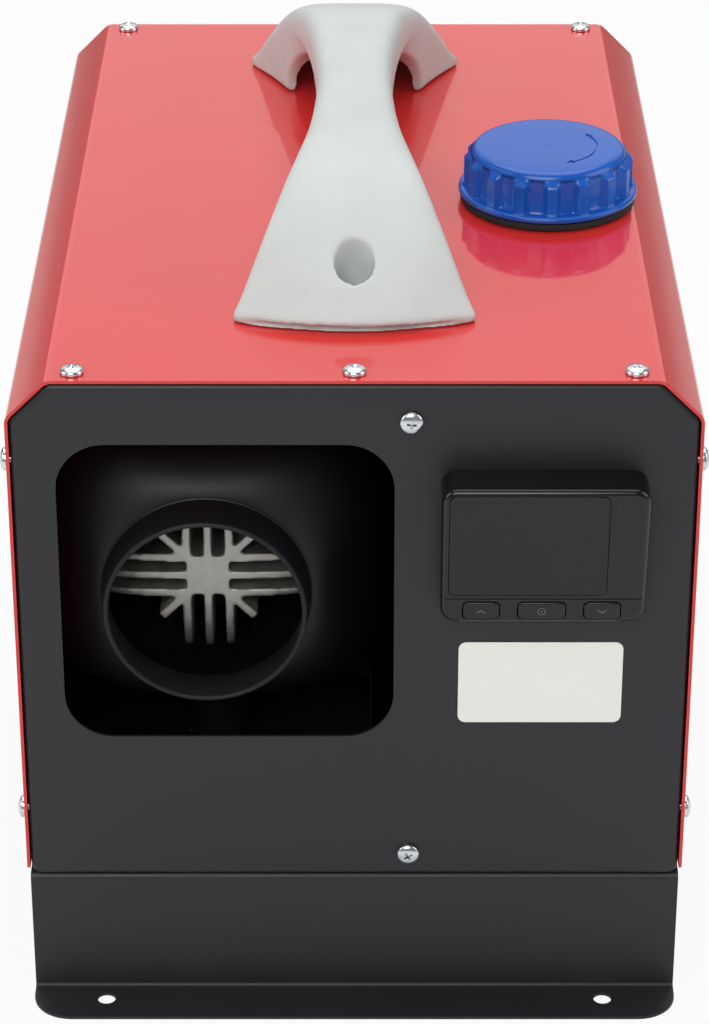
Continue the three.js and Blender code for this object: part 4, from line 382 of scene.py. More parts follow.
def rounded_slab(width, height, radius, depth, segments=8):
    """A rounded rectangle in x and z, centred, that reaches from y = 0 to y = depth."""
    shape = bmesh.new()
    w, h = width / 2, height / 2
    outline_face(shape, [(-w, 0, -h), (w, 0, -h), (w, 0, h), (-w, 0, h)])
    round_corners(shape, list(shape.verts), radius, segments)
    push_out(shape, (0, depth, 0))
    return outward(shape)


def spun(profile, axis="z", centre=(0, 0, 0), steps=64):
    """A turned solid or ring: profile points are (radius, distance along the axis)."""
    shape = bmesh.new()
    verts, edges = chain(shape, [(radius, 0, along) for radius, along in profile])
    bmesh.ops.spin(shape, geom=verts + edges, cent=(0, 0, 0), axis=(0, 0, 1),
                   angle=2 * math.pi, steps=steps, use_merge=True)
    bmesh.ops.remove_doubles(shape, verts=shape.verts, dist=1e-4)
    return placed(outward(shape), Matrix.Translation(Vector(centre)) @ AXIS_TURN[axis])


def add_shape(shape, other):
    """Puts another bmesh's faces into this one."""
    mesh = bpy.data.meshes.new("part")
    other.to_mesh(mesh)
    other.free()
    shape.from_mesh(mesh)
    bpy.data.meshes.remove(mesh)
    return shape


def merged(shapes):
    """Several shapes that don't touch, as one."""
    together = shapes[0]
    for shape in shapes[1:]:
        add_shape(together, shape)
    return together


print("helpers ready")

# %% [markdown]
# ## The camera and the studio
#
# The photograph is taken from above the front, with a long lens. The camera's place and its
# downward tilt come from the case's edges in the picture. A pale floor takes the shadow. Large soft
# lamps stand over and beside the object, so that the gloss on the cover has something to mirror.

# %% Camera
CAMERA_PLACE = (0, -1.28805, 0.7995)
CAMERA_TILT_DOWN = 28.05
LENS = 121.92

camera_data = bpy.data.cameras.new("camera")
camera_data.sensor_fit = "VERTICAL"
camera_data.sensor_height = 36
camera_data.sensor_width = 36
camera_data.lens = LENS
camera = bpy.data.objects.new("camera", camera_data)
camera.location = CAMERA_PLACE
camera.rotation_euler = (math.radians(90 - CAMERA_TILT_DOWN), 0, 0)
bpy.context.scene.collection.objects.link(camera)
bpy.context.scene.camera = camera
bpy.context.scene.view_settings.view_transform = "Standard"


# %% Floor and lamps
FLOOR_GLOW = 0.9
AIM = Vector((0, 0, 0.2))


def studio_floor():
    shape = bmesh.new()
    bmesh.ops.create_grid(shape, x_segments=1, y_segments=1, size=6)
    floor = to_object("studio_floor", shape)
    material = bpy.data.materials.new("white_floor")
    material.use_nodes = True
    nodes = material.node_tree.nodes
    links = material.node_tree.links
    shader = set_inputs(nodes["Principled BSDF"], Base_Color=(0.82, 0.82, 0.82, 1), Roughness=0.9)
    rays = nodes.new("ShaderNodeLightPath")
    glow = set_inputs(nodes.new("ShaderNodeEmission"), Color=(1, 1, 1, 1))
    blend = nodes.new("ShaderNodeMixShader")
    share = nodes.new("ShaderNodeMath")
    share.operation = "MULTIPLY"
    share.inputs[1].default_value = FLOOR_GLOW
    links.new(rays.outputs["Is Camera Ray"], share.inputs[0])
    links.new(share.outputs["Value"], blend.inputs["Fac"])
    links.new(shader.outputs["BSDF"], blend.inputs[1])
    links.new(glow.outputs["Emission"], blend.inputs[2])
    links.new(blend.outputs["Shader"], nodes["Material Output"].inputs["Surface"])
    floor.data.materials.append(material)


def soft_lamp(name, place, size, power):
    data = bpy.data.lights.new(name, "AREA")
    data.shape = "RECTANGLE"
    data.size, data.size_y = size
    data.energy = power
    lamp = bpy.data.objects.new(name, data)
    lamp.location = place
    lamp.rotation_euler = (AIM - Vector(place)).to_track_quat("-Z", "Y").to_euler()
    bpy.context.scene.collection.objects.link(lamp)


studio_floor()
soft_lamp("top_lamp", (0, 0.5, 1.9), (1.8, 1.6), 20)
soft_lamp("back_lamp", (0, 2.2, 1.4), (3.6, 1.4), 11)
soft_lamp("front_lamp", (-0.4, -1.9, 1.7), (1.6, 1.2), 27)
soft_lamp("left_lamp", (-1.7, -0.3, 1.0), (1.2, 1.2), 9)
soft_lamp("right_lamp", (1.7, -0.3, 1.0), (1.2, 1.2), 9)

world = bpy.data.worlds.new("studio")
bpy.context.scene.world = world
world.use_nodes = True
set_inputs(world.node_tree.nodes["Background"], Color=(1, 1, 1, 1), Strength=0.2)
print("camera and lamps placed")

# %% [markdown]
# ## The red cover
#
# On the real case this is one sheet, bent four times along lines that run from front to back. It
# could be modelled as a solid box with a hollow cut out of it, but a maker thinks in sheet: draw
# the flat strip's section, pull it along the case, round the bend lines and give it thickness. The
# bevel's offset is the distance from the bend line to the start of the curve, which is the outside
# radius times the tangent of half the bend angle.

# %% Cover
CHAMFER = 15
COVER_BEND = 5.2
HALF_BEND = math.radians(22.5)
GROMMET_WAIST = 30.3


def strip(corners, direction):
    """A chain of flat faces: the line of corners, pulled along a direction."""
    shape = bmesh.new()
    pull_edges(shape, chain(shape, corners)[1], direction)
    return shape


def bends(shape):
    """The inner edges of a strip, where two faces meet at an angle."""
    return [edge for edge in shape.edges if len(edge.link_faces) == 2]


def face_away(shape, point):
    """Turns every face of an open sheet away from a point."""
    for face in shape.faces:
        if face.normal.dot(face.calc_center_median() - point) < 0:
            face.normal_flip()


def case_corners(inset, bottom, y):
    half = SIDE - inset
    top = ROOF - inset
    leg = CHAMFER - inset * (2 - math.sqrt(2))
    right = [(half - leg, y, top), (half, y, top - leg), (half, y, bottom)]
    return [(-x, y, z) for x, y, z in reversed(right)] + right


def screw_places():
    """Each screw's node, the tip of its head, and the way that it points."""
    places = {}
    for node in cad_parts:
        if "screw" not in node:
            continue
        low, high = box_mm(node)
        tip, way = (low + high) / 2, Vector()
        axis = 2 if node.startswith(("top", "handle")) else 0 if node.startswith("side") else 1
        side = 1 if axis == 2 or tip[axis] > 0 else -1
        tip[axis] = high[axis] if side > 0 else low[axis]
        way[axis] = side
        places[node] = (tip, way)
    return places


SCREWS = screw_places()
CASE_SCREW_DEPTH = 8.5
HANDLE_SCREW_DEPTH = 11.5
HOLE_RADIUS = 2.2


def screw_depth(node):
    return HANDLE_SCREW_DEPTH if node.startswith("handle") else CASE_SCREW_DEPTH


def screw_hole(node):
    tip, way = SCREWS[node]
    axis = max(range(3), key=lambda i: abs(way[i]))
    ends = sorted([tip[axis] + way[axis], tip[axis] - way[axis] * screw_depth(node)])
    return rod("xyz"[axis], HOLE_RADIUS, ends, tip, segments=16)


def drill(shape, nodes, extra=()):
    """Cuts the screw holes and any extra cutters in one go, because they don't touch."""
    return carve(shape, [merged([screw_hole(node) for node in nodes] + list(extra))])


def make_cover():
    corners = case_corners(0, cover_low.z, FACE)
    shape = strip(corners, (0, BACK - FACE, 0))
    round_edges(shape, bends(shape), COVER_BEND * math.tan(HALF_BEND), 8)
    face_away(shape, Vector((0, 0, FLOOR)))
    solid = sheet_solid(shape)
    cap = centre_mm("fuel_cap")
    filler = rod("z", GROMMET_WAIST + GAP, (ROOF - 5, ROOF + 5), cap)
    nodes = [node for node in SCREWS if not node.startswith("panel")]
    return drill(solid, nodes, [filler])


cover = finish_piece("red_cover", make_cover(), RED, ["top_cover"], sharp=30, bevel=0.3)
print("cover faces:", len(cover.data.polygons))

# %% [markdown]
# ## The two end panels
#
# Each panel is a shallow tray: a flat face whose rim is folded back all round, so that the screws
# through the cover have something to bite. The face is one polygon with rounded corners. Its rim
# edges are extruded backwards, the fold line is bevelled, and the sheet is then given its
# thickness. The cut-outs are made last, as a punch does.

# %% End panels
FOLD = 2.2
INSET = panel_low.x + SIDE
FLANGE = panel_high.y - panel_low.y
PANEL_CORNER = 4


def panel_tray(y, depth):
    """depth is positive when the flanges point along +y."""
    shape = bmesh.new()
    outline_face(shape, case_corners(INSET, panel_low.z, y))
    bottom = [v for v in shape.verts if v.co.z < panel_low.z + 1]
    top = [v for v in shape.verts if v.co.z >= panel_low.z + 1]
    round_corners(shape, bottom, PANEL_CORNER, 6)
    tangent = (COVER_BEND - INSET) * math.tan(HALF_BEND)
    round_corners(shape, [v for v in top if v.is_valid], tangent, 4)
    pull_edges(shape, [edge for edge in shape.edges if edge.is_boundary], (0, depth, 0))
    fold = [edge for edge in shape.edges
            if not edge.is_boundary and all(abs(v.co.y - y) < 0.01 for v in edge.verts)]
    round_edges(shape, fold, FOLD, 5)
    face_away(shape, Vector((0, y + depth, (panel_low.z + panel_high.z) / 2)))
    return shape


CUTOUT_WIDTH = 122.2
CUTOUT_HEIGHT = 122.3
CUTOUT_CORNER = 18
CUTOUT_SHIFT = 8.2
CUTOUT_DROP = 25.4
INTAKE_RADIUS = 42
GLAND_RADIUS = 8


def make_front_panel():
    tray = sheet_solid(panel_tray(FACE, FLANGE))
    window = rounded_slab(CUTOUT_WIDTH, CUTOUT_HEIGHT, CUTOUT_CORNER, 6, 10)
    moved(window, (HEATER.x + CUTOUT_SHIFT, FACE - 2, ROOF - CUTOUT_DROP - CUTOUT_HEIGHT / 2))
    nodes = [n for n in SCREWS if "front" in n and not n.startswith("handle")]
    return drill(tray, nodes, [window])


def make_rear_panel():
    tray = sheet_solid(panel_tray(BACK, -FLANGE))
    intake = rod("y", INTAKE_RADIUS + GAP, (BACK - 4, BACK + 4), HEATER, 64)
    gland = rod("y", GLAND_RADIUS + GAP, (BACK - 4, BACK + 4), centre_mm("cable_gland"), 32)
    nodes = [n for n in SCREWS if "rear" in n and not n.startswith("handle")]
    return drill(tray, nodes, [intake, gland])


front_panel, rear_panel = (
    finish_piece(name, shape, BLACK, [node], sharp=30, bevel=0.2)
    for name, shape, node in (("front_tray", make_front_panel(), "front_panel"),
                              ("rear_tray", make_rear_panel(), "rear_panel")))
print("panel faces:", len(front_panel.data.polygons), len(rear_panel.data.polygons))

# %% [markdown]
# ## The base
#
# Floor, walls and feet are one strip of sheet with four bends. The strip is drawn from the front
# foot to the rear foot and pulled across the case. The feet's outer corners are rounded while the
# strip is still a plain sheet, because a vertex bevel is then all that is needed. Two plain bars
# are its side lips.

# %% Base
FOOT_CORNER = 15
FOOT_HOLE_RADIUS = 3.5
FOOT_HOLE_X = 96
FOOT_HOLE_OUT = 8.7
WALL_SETBACK = 0.7
FLOOR_BEND = 2.7
FOOT_BEND = 1.6
SIDE_LIP_REACH = BACK - FLANGE - 1
STUBS = ("exhaust_stub", "combustion_air_stub")
STUB_RADIUS = 12
STUB_CLEARANCE = 0.05


def make_base():
    wall = BACK - WALL_SETBACK
    half = base_high.x
    foot = SHEET
    corners = [
        (-half, base_low.y, foot),
        (-half, -wall, foot),
        (-half, -wall, FLOOR),
        (-half, wall, FLOOR),
        (-half, wall, foot),
        (-half, base_high.y, foot),
    ]
    shape = strip(corners, (2 * half, 0, 0))
    ends = [v for v in shape.verts if abs(abs(v.co.y) - base_high.y) < 0.1]
    round_corners(shape, ends, FOOT_CORNER, 10)
    fold = [e for e in bends(shape) if abs(e.verts[0].co.z - FLOOR) < 0.1]
    foot_fold = [e for e in bends(shape) if abs(e.verts[0].co.z - foot) < 0.1]
    round_edges(shape, fold, FLOOR_BEND, 5)
    round_edges(shape, [e for e in foot_fold if e.is_valid], FOOT_BEND, 5)
    for face in shape.faces:
        centre = face.calc_center_median()
        if abs(centre.y) < wall - 3 or abs(centre.y) > wall + 3:
            wanted = Vector((0, 0, 1))
        else:
            wanted = Vector((0, math.copysign(1, centre.y), 0.2))
        if face.normal.dot(wanted) < 0:
            face.normal_flip()
    solid = sheet_solid(shape)
    lip_out = SIDE - INSET
    for side in (-1, 1):
        span = sorted([side * lip_out, side * (lip_out - SHEET)])
        add_shape(solid, block((span[0], -SIDE_LIP_REACH, FLOOR - 0.1),
                               (span[1], SIDE_LIP_REACH, base_high.z)))
    cutters = [
        rod("z", FOOT_HOLE_RADIUS, (-2, 4), (sx * FOOT_HOLE_X, sy * (wall + FOOT_HOLE_OUT), 0), 32)
        for sx in (-1, 1) for sy in (-1, 1)
    ]
    cutters += [rod("z", STUB_RADIUS + STUB_CLEARANCE, (FLOOR - 4, FLOOR + 4), centre_mm(stub), 96)
                for stub in STUBS]
    return carve(solid, [merged(cutters)])


base = finish_piece("bent_base", make_base(), BLACK, ["base_bracket"], sharp=30,
                    bevel=0.2)
print("base faces:", len(base.data.polygons))

# %% [markdown]
# ## The carry handle
#
# The handle is one moulding: two flared feet that narrow and rise into a rounded grip. It could be
# sculpted from a cube, but its shape follows rules, so it is lofted. Rings of points are set at
# stations along the handle, each ring is shaped by the width, the crown and the underside at its
# place, and `bridge_loops` skins them. Near each end the rings bow outwards with the foot's curved
# edge. The hollows, the bosses and the screw recesses are then cut and joined. A voxel remesh
# with some smoothing softens the edges last.

# %% Handle shape
handle_low, handle_high = box_mm("carry_handle")
HANDLE_LENGTH = handle_high.y - handle_low.y
HANDLE_HEIGHT = handle_high.z - handle_low.z
HANDLE_Z = handle_low.z
FOOT_WIDTH = 90
GRIP_WIDTH = 28.5
BULGE = 11
TAPER = 56.5
TAPER_POWER = 1.45
RISE = 80
FOOT_SQUARENESS = 2.9
GRIP_SQUARENESS = 5.0
SQUARE_RUN = 28
CORNER = 3
LIP = 4
LIP_EDGE = 1.6
LIP_ROUND = 1.2
EDGE_START = 10
EDGE_RUN = 52
EDGE_HEIGHT = 31
EDGE_EASE = 1.3
FOOT_LENGTH = 45
ARCH_RUN = 40
FINGER_HEIGHT = 28
GRIP_BASE = 8.5
HANDLE_WALL = 4.5
HOLLOW_LENGTH = 60
HOLLOW_HEIGHT = 23
HOLLOW_POWER = 2 / 3
SKIN_SHARE = 0.3
RING_POINTS = 64


def clamp(value, low, high):
    return max(low, min(high, value))


def foot_profile(s):
    """Half width, crown, skin edge and underside at a distance s from the handle's end."""
    half = GRIP_WIDTH / 2 + (FOOT_WIDTH - GRIP_WIDTH) / 2 * math.exp(-((s / TAPER) ** TAPER_POWER))
    half -= CORNER - math.sqrt(CORNER ** 2 - max(CORNER - s, 0) ** 2)
    top = LIP + (HANDLE_HEIGHT - LIP) * math.sin(math.pi / 2 * min(s / RISE, 1))
    top -= LIP_ROUND - math.sqrt(LIP_ROUND ** 2 - max(LIP_ROUND - s, 0) ** 2)
    run = clamp((s - EDGE_START) / EDGE_RUN, 0, 1)
    edge = LIP_EDGE + (EDGE_HEIGHT - LIP_EDGE) * math.sin(math.pi / 2 * run) ** EDGE_EASE
    arch = clamp((s - FOOT_LENGTH) / ARCH_RUN, 0, 1)
    under = FINGER_HEIGHT * math.sqrt(1 - (1 - arch) ** 2)
    return half, top, edge, under, half - (GRIP_WIDTH / 2 - GRIP_BASE) * arch


BOW_RADIUS = ((FOOT_WIDTH / 2) ** 2 + BULGE ** 2) / (2 * BULGE)


def bowed(s, x):
    """A point's distance from the handle's end: the rings bow with the foot's curved edge."""
    x = clamp(x, -FOOT_WIDTH / 2, FOOT_WIDTH / 2)
    return s + (BOW_RADIUS - math.sqrt(BOW_RADIUS ** 2 - x * x)) * clamp(1 - s / FOOT_LENGTH, 0, 1)


def oval_reach(c, s, power):
    """How far a squared circle lies out, in the direction of a cosine and a sine."""
    return (abs(c) ** power + abs(s) ** power) ** (-1 / power)


def ring_place(s, share):
    """A ring's point: share runs from 0 to 1 round the section, starting at the crown's right."""
    half, top, edge, under, base_half = foot_profile(s)
    low = min(under, edge - 1)
    if share < 0.5:
        angle = share * 2 * math.pi
        power = GRIP_SQUARENESS + (FOOT_SQUARENESS - GRIP_SQUARENESS) * math.exp(-s / SQUARE_RUN)
        cosine, sine = math.cos(angle), math.sin(angle)
        size = oval_reach(cosine, sine, power)
        x = half * cosine * size
        z = edge + (top - edge) * sine * size
    else:
        x, z = under_place(share, half, edge, low, base_half)
    return x, bowed(s, x), z


def under_place(share, half, edge, low, base_half):
    """The skin below the crease and the flat underside, on the last half of the ring."""
    t = (share - 0.5) * 2
    if t < SKIN_SHARE:
        k = t / SKIN_SHARE
        return -(half + (base_half - half) * k), edge + (low - edge) * k
    if t > 1 - SKIN_SHARE:
        k = (t - (1 - SKIN_SHARE)) / SKIN_SHARE
        return base_half + (half - base_half) * k, low + (edge - low) * k
    k = (t - SKIN_SHARE) / (1 - 2 * SKIN_SHARE)
    return base_half * (2 * k - 1), low


def station_list():
    foot = [0, 0.4, 1, 2, 3, 5, 8, 12, 16, 20, 24, 28, 32, 36, 40, 43]
    arch = [FOOT_LENGTH + ARCH_RUN * (1 - math.cos(angle)) for angle in quarter_angles(10)]
    return foot + arch + [95, 110, 128]


def loft_rings(rings, joined=False):
    """Bridges rings of points, one to the next. The ends are capped, or joined to each other."""
    shape = bmesh.new()
    loops = [chain(shape, ring, closed=True)[1] for ring in rings]
    for near, far in zip(loops, loops[1:] + (loops[:1] if joined else [])):
        bmesh.ops.bridge_loops(shape, edges=near + far)
    for end in [] if joined else [loops[0], loops[-1]]:
        bmesh.ops.contextual_create(shape, geom=end)
    return outward(shape)


def handle_skin():
    half = HANDLE_LENGTH / 2
    stations = station_list()
    rings = []
    for end, order in ((-1, stations + [half]), (1, stations[::-1])):
        for s in order:
            ring = []
            for i in range(RING_POINTS):
                x, reach, z = ring_place(s, i / RING_POINTS)
                ring.append((x, end * (half - min(reach, half)), HANDLE_Z + z))
            rings.append(ring)
    return loft_rings(rings)


def handle_hollow(end):
    """The open space inside a foot, which stops one wall short of the outer skin."""
    half = HANDLE_LENGTH / 2
    rings = []
    for i in range(10):
        s = HANDLE_WALL + (HOLLOW_LENGTH - HANDLE_WALL) * i / 9
        ring = []
        width, top = foot_profile(s)[:2]
        tall = min(top - HANDLE_WALL, HOLLOW_HEIGHT)
        for angle in round_angles(32):
            spread = math.copysign(abs(math.cos(angle)) ** HOLLOW_POWER, math.cos(angle))
            x = (width - HANDLE_WALL) * spread
            lift = abs(math.sin(angle)) ** HOLLOW_POWER
            z = (tall + 1) * lift - 1 if math.sin(angle) > 0 else -1 - 3 * lift
            ring.append((x, end * (half - bowed(s, x)), HANDLE_Z + z))
        rings.append(ring)
    return loft_rings(rings)


RECESS_RADIUS = 7.6
RECESS_FOOT_RADIUS = 7.2
BOSS_RADIUS = 10.5
BOSS_FLOOR = 4
HANDLE_VOXEL = 0.85
HANDLE_MELT = 7


def make_handle():
    skin = handle_skin()
    whole_skin = skin.copy()
    seats = [centre_mm(node) for node in ("handle_screw_front", "handle_screw_rear")]
    shape = carve(skin, [handle_hollow(-1), handle_hollow(1)])
    tall = (HANDLE_Z, HANDLE_Z + HANDLE_HEIGHT)
    for seat in seats:
        boss = carve(rod("z", BOSS_RADIUS, tall, seat), [whole_skin.copy()], "INTERSECT")
        shape = carve(shape, [boss], "UNION")
    whole_skin.free()
    floor = HANDLE_Z + BOSS_FLOOR
    recesses = [rod("z", RECESS_FOOT_RADIUS, (floor, tall[1]), seat, 48, RECESS_RADIUS)
                for seat in seats]
    holes = [rod("z", HOLE_RADIUS, (HANDLE_Z - 2, floor + 2), seat, 16) for seat in seats]
    return carve(shape, recesses + holes)


handle_shape = make_handle()
handle_shape = melt(handle_shape, HANDLE_VOXEL, HANDLE_MELT)
handle = finish_piece("moulded_handle", handle_shape, HANDLE_GREY,
                      ["carry_handle"])
print("handle faces:", len(handle.data.polygons))

# %% [markdown]
# ## Screws
#
# The case is held by zinc-plated pan-head screws with a cross recess. A screw of each length is
# turned from its profile, its recess is cut with two crossed tapered bars, and copies of its mesh
# are set at the screws' places, pointing out of the sheet.

# %% Screws
HEAD_RADIUS = 4.3
HEAD_HEIGHT = 2.5
HEAD_DOME = 1.7
CROSS_HALF = (2.3, 0.55)
CROSS_DEPTH = 1.9
SHANK_RADIUS = 1.9


def screw_shape(depth):
    """The tip of the head is at zero, and the shank points down."""
    profile = [(HEAD_RADIUS * math.sin(angle), -HEAD_DOME * (1 - math.cos(angle)))
               for angle in quarter_angles(8)]
    profile += [(HEAD_RADIUS, -HEAD_HEIGHT), (SHANK_RADIUS, -HEAD_HEIGHT),
                (SHANK_RADIUS, -depth), (0, -depth)]
    long, wide = CROSS_HALF
    cross = []
    for turn in (0, math.pi / 2):
        bar = block((-long, -wide, -CROSS_DEPTH), (long, wide, 1))
        bmesh.ops.scale(bar, vec=(0.35, 0.5, 1), verts=[v for v in bar.verts if v.co.z < 0])
        cross.append(turned(bar, turn + 0.35, "Z"))
    return carve(spun(profile, steps=40), cross)


patterns = {depth: screw_shape(depth) for depth in (CASE_SCREW_DEPTH, HANDLE_SCREW_DEPTH)}
for number, (node, (tip, way)) in enumerate(SCREWS.items()):
    copy = patterns[screw_depth(node)].copy()
    turn = way.to_track_quat("Z", "Y").to_matrix().to_4x4()
    spin = Matrix.Rotation(number * 0.9, 4, "Z")
    placed(copy, Matrix.Translation(tip) @ turn @ spin)
    finish_piece(f"{node}_cross_head", copy, ZINC, [node], sharp=30)
for pattern in patterns.values():
    pattern.free()
print("screws:", len(SCREWS))

# %% [markdown]
# ## The fuel cap
#
# The cap is a turned body with sixteen grip ribs. The ribs could be sixteen blocks joined to the
# body, but moulded ribs flow into the wall. So the cap is lofted from rings whose radius swells at
# each rib: how much it swells depends on the height, from nothing at the rounded top to full along
# the wall. A curved double arrow is engraved in the top, and a dimple marks the centre.

# %% Cap
cap_low, cap_high = box_mm("fuel_cap")
CAP_CENTRE = centre_mm("fuel_cap")
CAP_RADIUS = 30.5
CAP_FLANGE_RADIUS = 35.2
CAP_FLANGE = 2.4
CAP_ROUND = 3.6
CAP_RIBS = 16
CAP_RIB_PROUD = 2.7
CAP_RIB_WIDTH = 5.0
CAP_RIB_DROP = 2.6
CAP_BORE = 28.6
CAP_ROOF = 2.8
CAP_STEPS = CAP_RIBS * 14
ARROW_RADIUS = 19
ARROW_DEPTH = 0.45
ARROW_LINE = 0.9
ARROW_HEAD = (3.4, 3.6)
ARROW_FROM = -62
ARROW_TO = 28


def smooth_step(value):
    value = clamp(value, 0, 1)
    return value * value * (3 - 2 * value)


def rib_share(angle):
    """1 on a rib, 0 between ribs, with soft flanks."""
    pitch = 2 * math.pi / CAP_RIBS
    off = abs((angle / pitch - 0.5) % 1 - 0.5) * pitch * CAP_RADIUS
    return smooth_step((CAP_RIB_WIDTH / 2 + 0.7 - off) / 1.4)


def cap_rings():
    """(z, radius, rib strength) from the top's centre dimple, down the outside, and up the bore."""
    top = cap_high.z
    rings = [(top - 0.45, 0.5, 0), (top - 0.05, 1.1, 0), (top, 1.4, 0), (top, 1.8, 0), (top, 3, 0),
             (top, CAP_RADIUS * 0.5, 0)]
    for angle in quarter_angles(6):
        rings.append((top - CAP_ROUND * (1 - math.cos(angle)),
                      CAP_RADIUS - CAP_ROUND + CAP_ROUND * math.sin(angle), 0))
    shoulder = cap_low.z + CAP_FLANGE
    rib_top = top - CAP_RIB_DROP
    for step in range(5):
        rings.append((rib_top - 0.8 * step, None, smooth_step((step + 0.4) / 4)))
    rings += [
        (shoulder + 0.8, None, 1),
        (shoulder, CAP_RADIUS + 0.6, 1),
        (shoulder - 0.05, CAP_FLANGE_RADIUS - 0.9, 0),
        (shoulder - 0.4, CAP_FLANGE_RADIUS - 0.25, 0),
        (shoulder - 0.9, CAP_FLANGE_RADIUS, 0),
        (cap_low.z + 0.5, CAP_FLANGE_RADIUS, 0),
        (cap_low.z, CAP_FLANGE_RADIUS - 0.5, 0),
        (cap_low.z, CAP_BORE, 0),
        (top - CAP_ROOF, CAP_BORE, 0),
        (top - CAP_ROOF, 2, 0),
    ]
    return rings


def make_cap():
    rings = []
    for z, radius, strength in cap_rings():
        body = CAP_RADIUS if radius is None else radius
        ring = []
        for angle in round_angles(CAP_STEPS):
            reach = body + CAP_RIB_PROUD * strength * rib_share(angle)
            ring.append((CAP_CENTRE.x + reach * math.cos(angle),
                         CAP_CENTRE.y + reach * math.sin(angle), z))
        rings.append(ring)
    shape = loft_rings(rings)
    bmesh.ops.remove_doubles(shape, verts=shape.verts, dist=1e-4)
    return carve(shape, [arrow_cutter()])


def arrow_cutter():
    """A curved line with a head at each end, sunk into the cap's top."""
    shape = bmesh.new()
    low, high = cap_high.z - ARROW_DEPTH, cap_high.z + 1
    ends = [(ARROW_RADIUS - ARROW_LINE / 2, 0, low), (ARROW_RADIUS + ARROW_LINE / 2, 0, low)]
    verts, edges = chain(shape, ends)
    turned(shape, math.radians(ARROW_FROM), "Z")
    bmesh.ops.spin(shape, geom=verts + edges, cent=(0, 0, 0), axis=(0, 0, 1),
                   angle=math.radians(ARROW_TO - ARROW_FROM), steps=24)
    push_out(shape, (0, 0, high - low))
    wide, long = ARROW_HEAD
    for angle, flip in ((ARROW_FROM, math.pi), (ARROW_TO, 0)):
        head = bmesh.new()
        outline_face(head, [(-wide / 2, 0, low), (wide / 2, 0, low), (0, long, low)])
        push_out(head, (0, 0, high - low))
        place = (Matrix.Rotation(math.radians(angle), 4, "Z")
                 @ Matrix.Translation((ARROW_RADIUS, 0, 0)) @ Matrix.Rotation(flip, 4, "Z"))
        add_shape(shape, outward(placed(head, place)))
    return moved(outward(shape), (CAP_CENTRE.x, CAP_CENTRE.y, 0))


cap = finish_piece("ribbed_cap", make_cap(), CAP_BLUE, ["fuel_cap"], "fuel_cap",
                   sharp=50)
print("cap faces:", len(cap.data.polygons))

# %% [markdown]
# Under the cap a black rubber grommet seals the filler neck to the cover. It is a turned ring with
# a rounded outer edge, a waist in the sheet's hole and a small lip below.

# %% Grommet
GROMMET_RADIUS = 34.5
GROMMET_RISE = 3.0
NECK_CLEAR = 28.3


def make_grommet():
    top = ROOF + GAP + GROMMET_RISE
    foot = ROOF + GAP
    under = ROOF - SHEET - GAP
    profile = [
        (NECK_CLEAR, top), (GROMMET_RADIUS - 1.2, top), (GROMMET_RADIUS - 0.35, top - 0.35),
        (GROMMET_RADIUS, top - 1.2), (GROMMET_RADIUS, foot + 0.4), (GROMMET_RADIUS - 0.4, foot),
        (GROMMET_WAIST, foot), (GROMMET_WAIST, under), (GROMMET_WAIST + 2, under),
        (GROMMET_WAIST + 1, under - 2), (NECK_CLEAR, under - 2), (NECK_CLEAR, top),
    ]
    return spun(profile, "z", (CAP_CENTRE.x, CAP_CENTRE.y, 0), 72)


grommet = finish_piece("rubber_grommet", make_grommet(), RUBBER, ["filler_grommet"])
print("grommet faces:", len(grommet.data.polygons))

# %% [markdown]
# ## The controller
#
# The controller is a small moulded box that is deeper at the top than at the bottom, so that its
# face leans up towards the user. It starts as a block; its front lower corners are pulled back to
# make the wedge, its four long corners are rounded, and then its front rim. The display window and
# the wells for the three buttons are cut square to the leaning face.

# %% Controller sizes
housing_low, housing_high = box_mm("controller_housing")
CONTROLLER_X = (housing_low.x + housing_high.x) / 2
CONTROLLER_TOP = housing_high.z
CONTROLLER_HEIGHT = housing_high.z - housing_low.z
CONTROLLER_WIDTH = housing_high.x - housing_low.x
TOP_DEPTH = 17
BOTTOM_DEPTH = 9
TILT = math.atan2(TOP_DEPTH - BOTTOM_DEPTH, CONTROLLER_HEIGHT)
FACE_LENGTH = CONTROLLER_HEIGHT / math.cos(TILT)
ON_FACE = (Matrix.Translation((CONTROLLER_X, FACE - TOP_DEPTH, CONTROLLER_TOP))
           @ Matrix.Rotation(TILT, 4, "X"))
LCD_SIZE = (57.1, 43.6)
LCD_PLACE = (-5.9, -2.4 - LCD_SIZE[1] / 2)
BUTTONS = {"button_left": (-22.5, 13.2), "button_middle": (-0.5, 17.3),
           "button_right": (21.5, 13.2)}
BUTTON_HEIGHT = 7.5
BUTTON_MARGIN = 2.2
BUTTON_Z = -FACE_LENGTH + BUTTON_MARGIN + BUTTON_HEIGHT / 2


def on_face(shape, x, z, out=0.0):
    """Moves a shape drawn round the origin onto the leaning face."""
    return placed(shape, ON_FACE @ Matrix.Translation((x, -out, z)))


# %% Controller housing
HOUSING_WALL = 2.0
HOUSING_CORNER = 6
HOUSING_RIM = 2.6
WINDOW_GAP = 0.5
WELL_GAP = 0.7
SEAM_DROP = 4.2
SEAM_HALF = 0.2


def wedge(inset, back):
    """The controller's block, drawn smaller all round by an inset."""
    half = CONTROLLER_WIDTH / 2 - inset
    foot = CONTROLLER_TOP - CONTROLLER_HEIGHT + inset
    shape = block((CONTROLLER_X - half, FACE - TOP_DEPTH + inset, foot),
                  (CONTROLLER_X + half, back, CONTROLLER_TOP - inset))
    low_front = [v for v in shape.verts if v.co.z < CONTROLLER_TOP - 10 and v.co.y < FACE - 5]
    bmesh.ops.translate(shape, vec=(0, TOP_DEPTH - BOTTOM_DEPTH, 0), verts=low_front)
    return shape


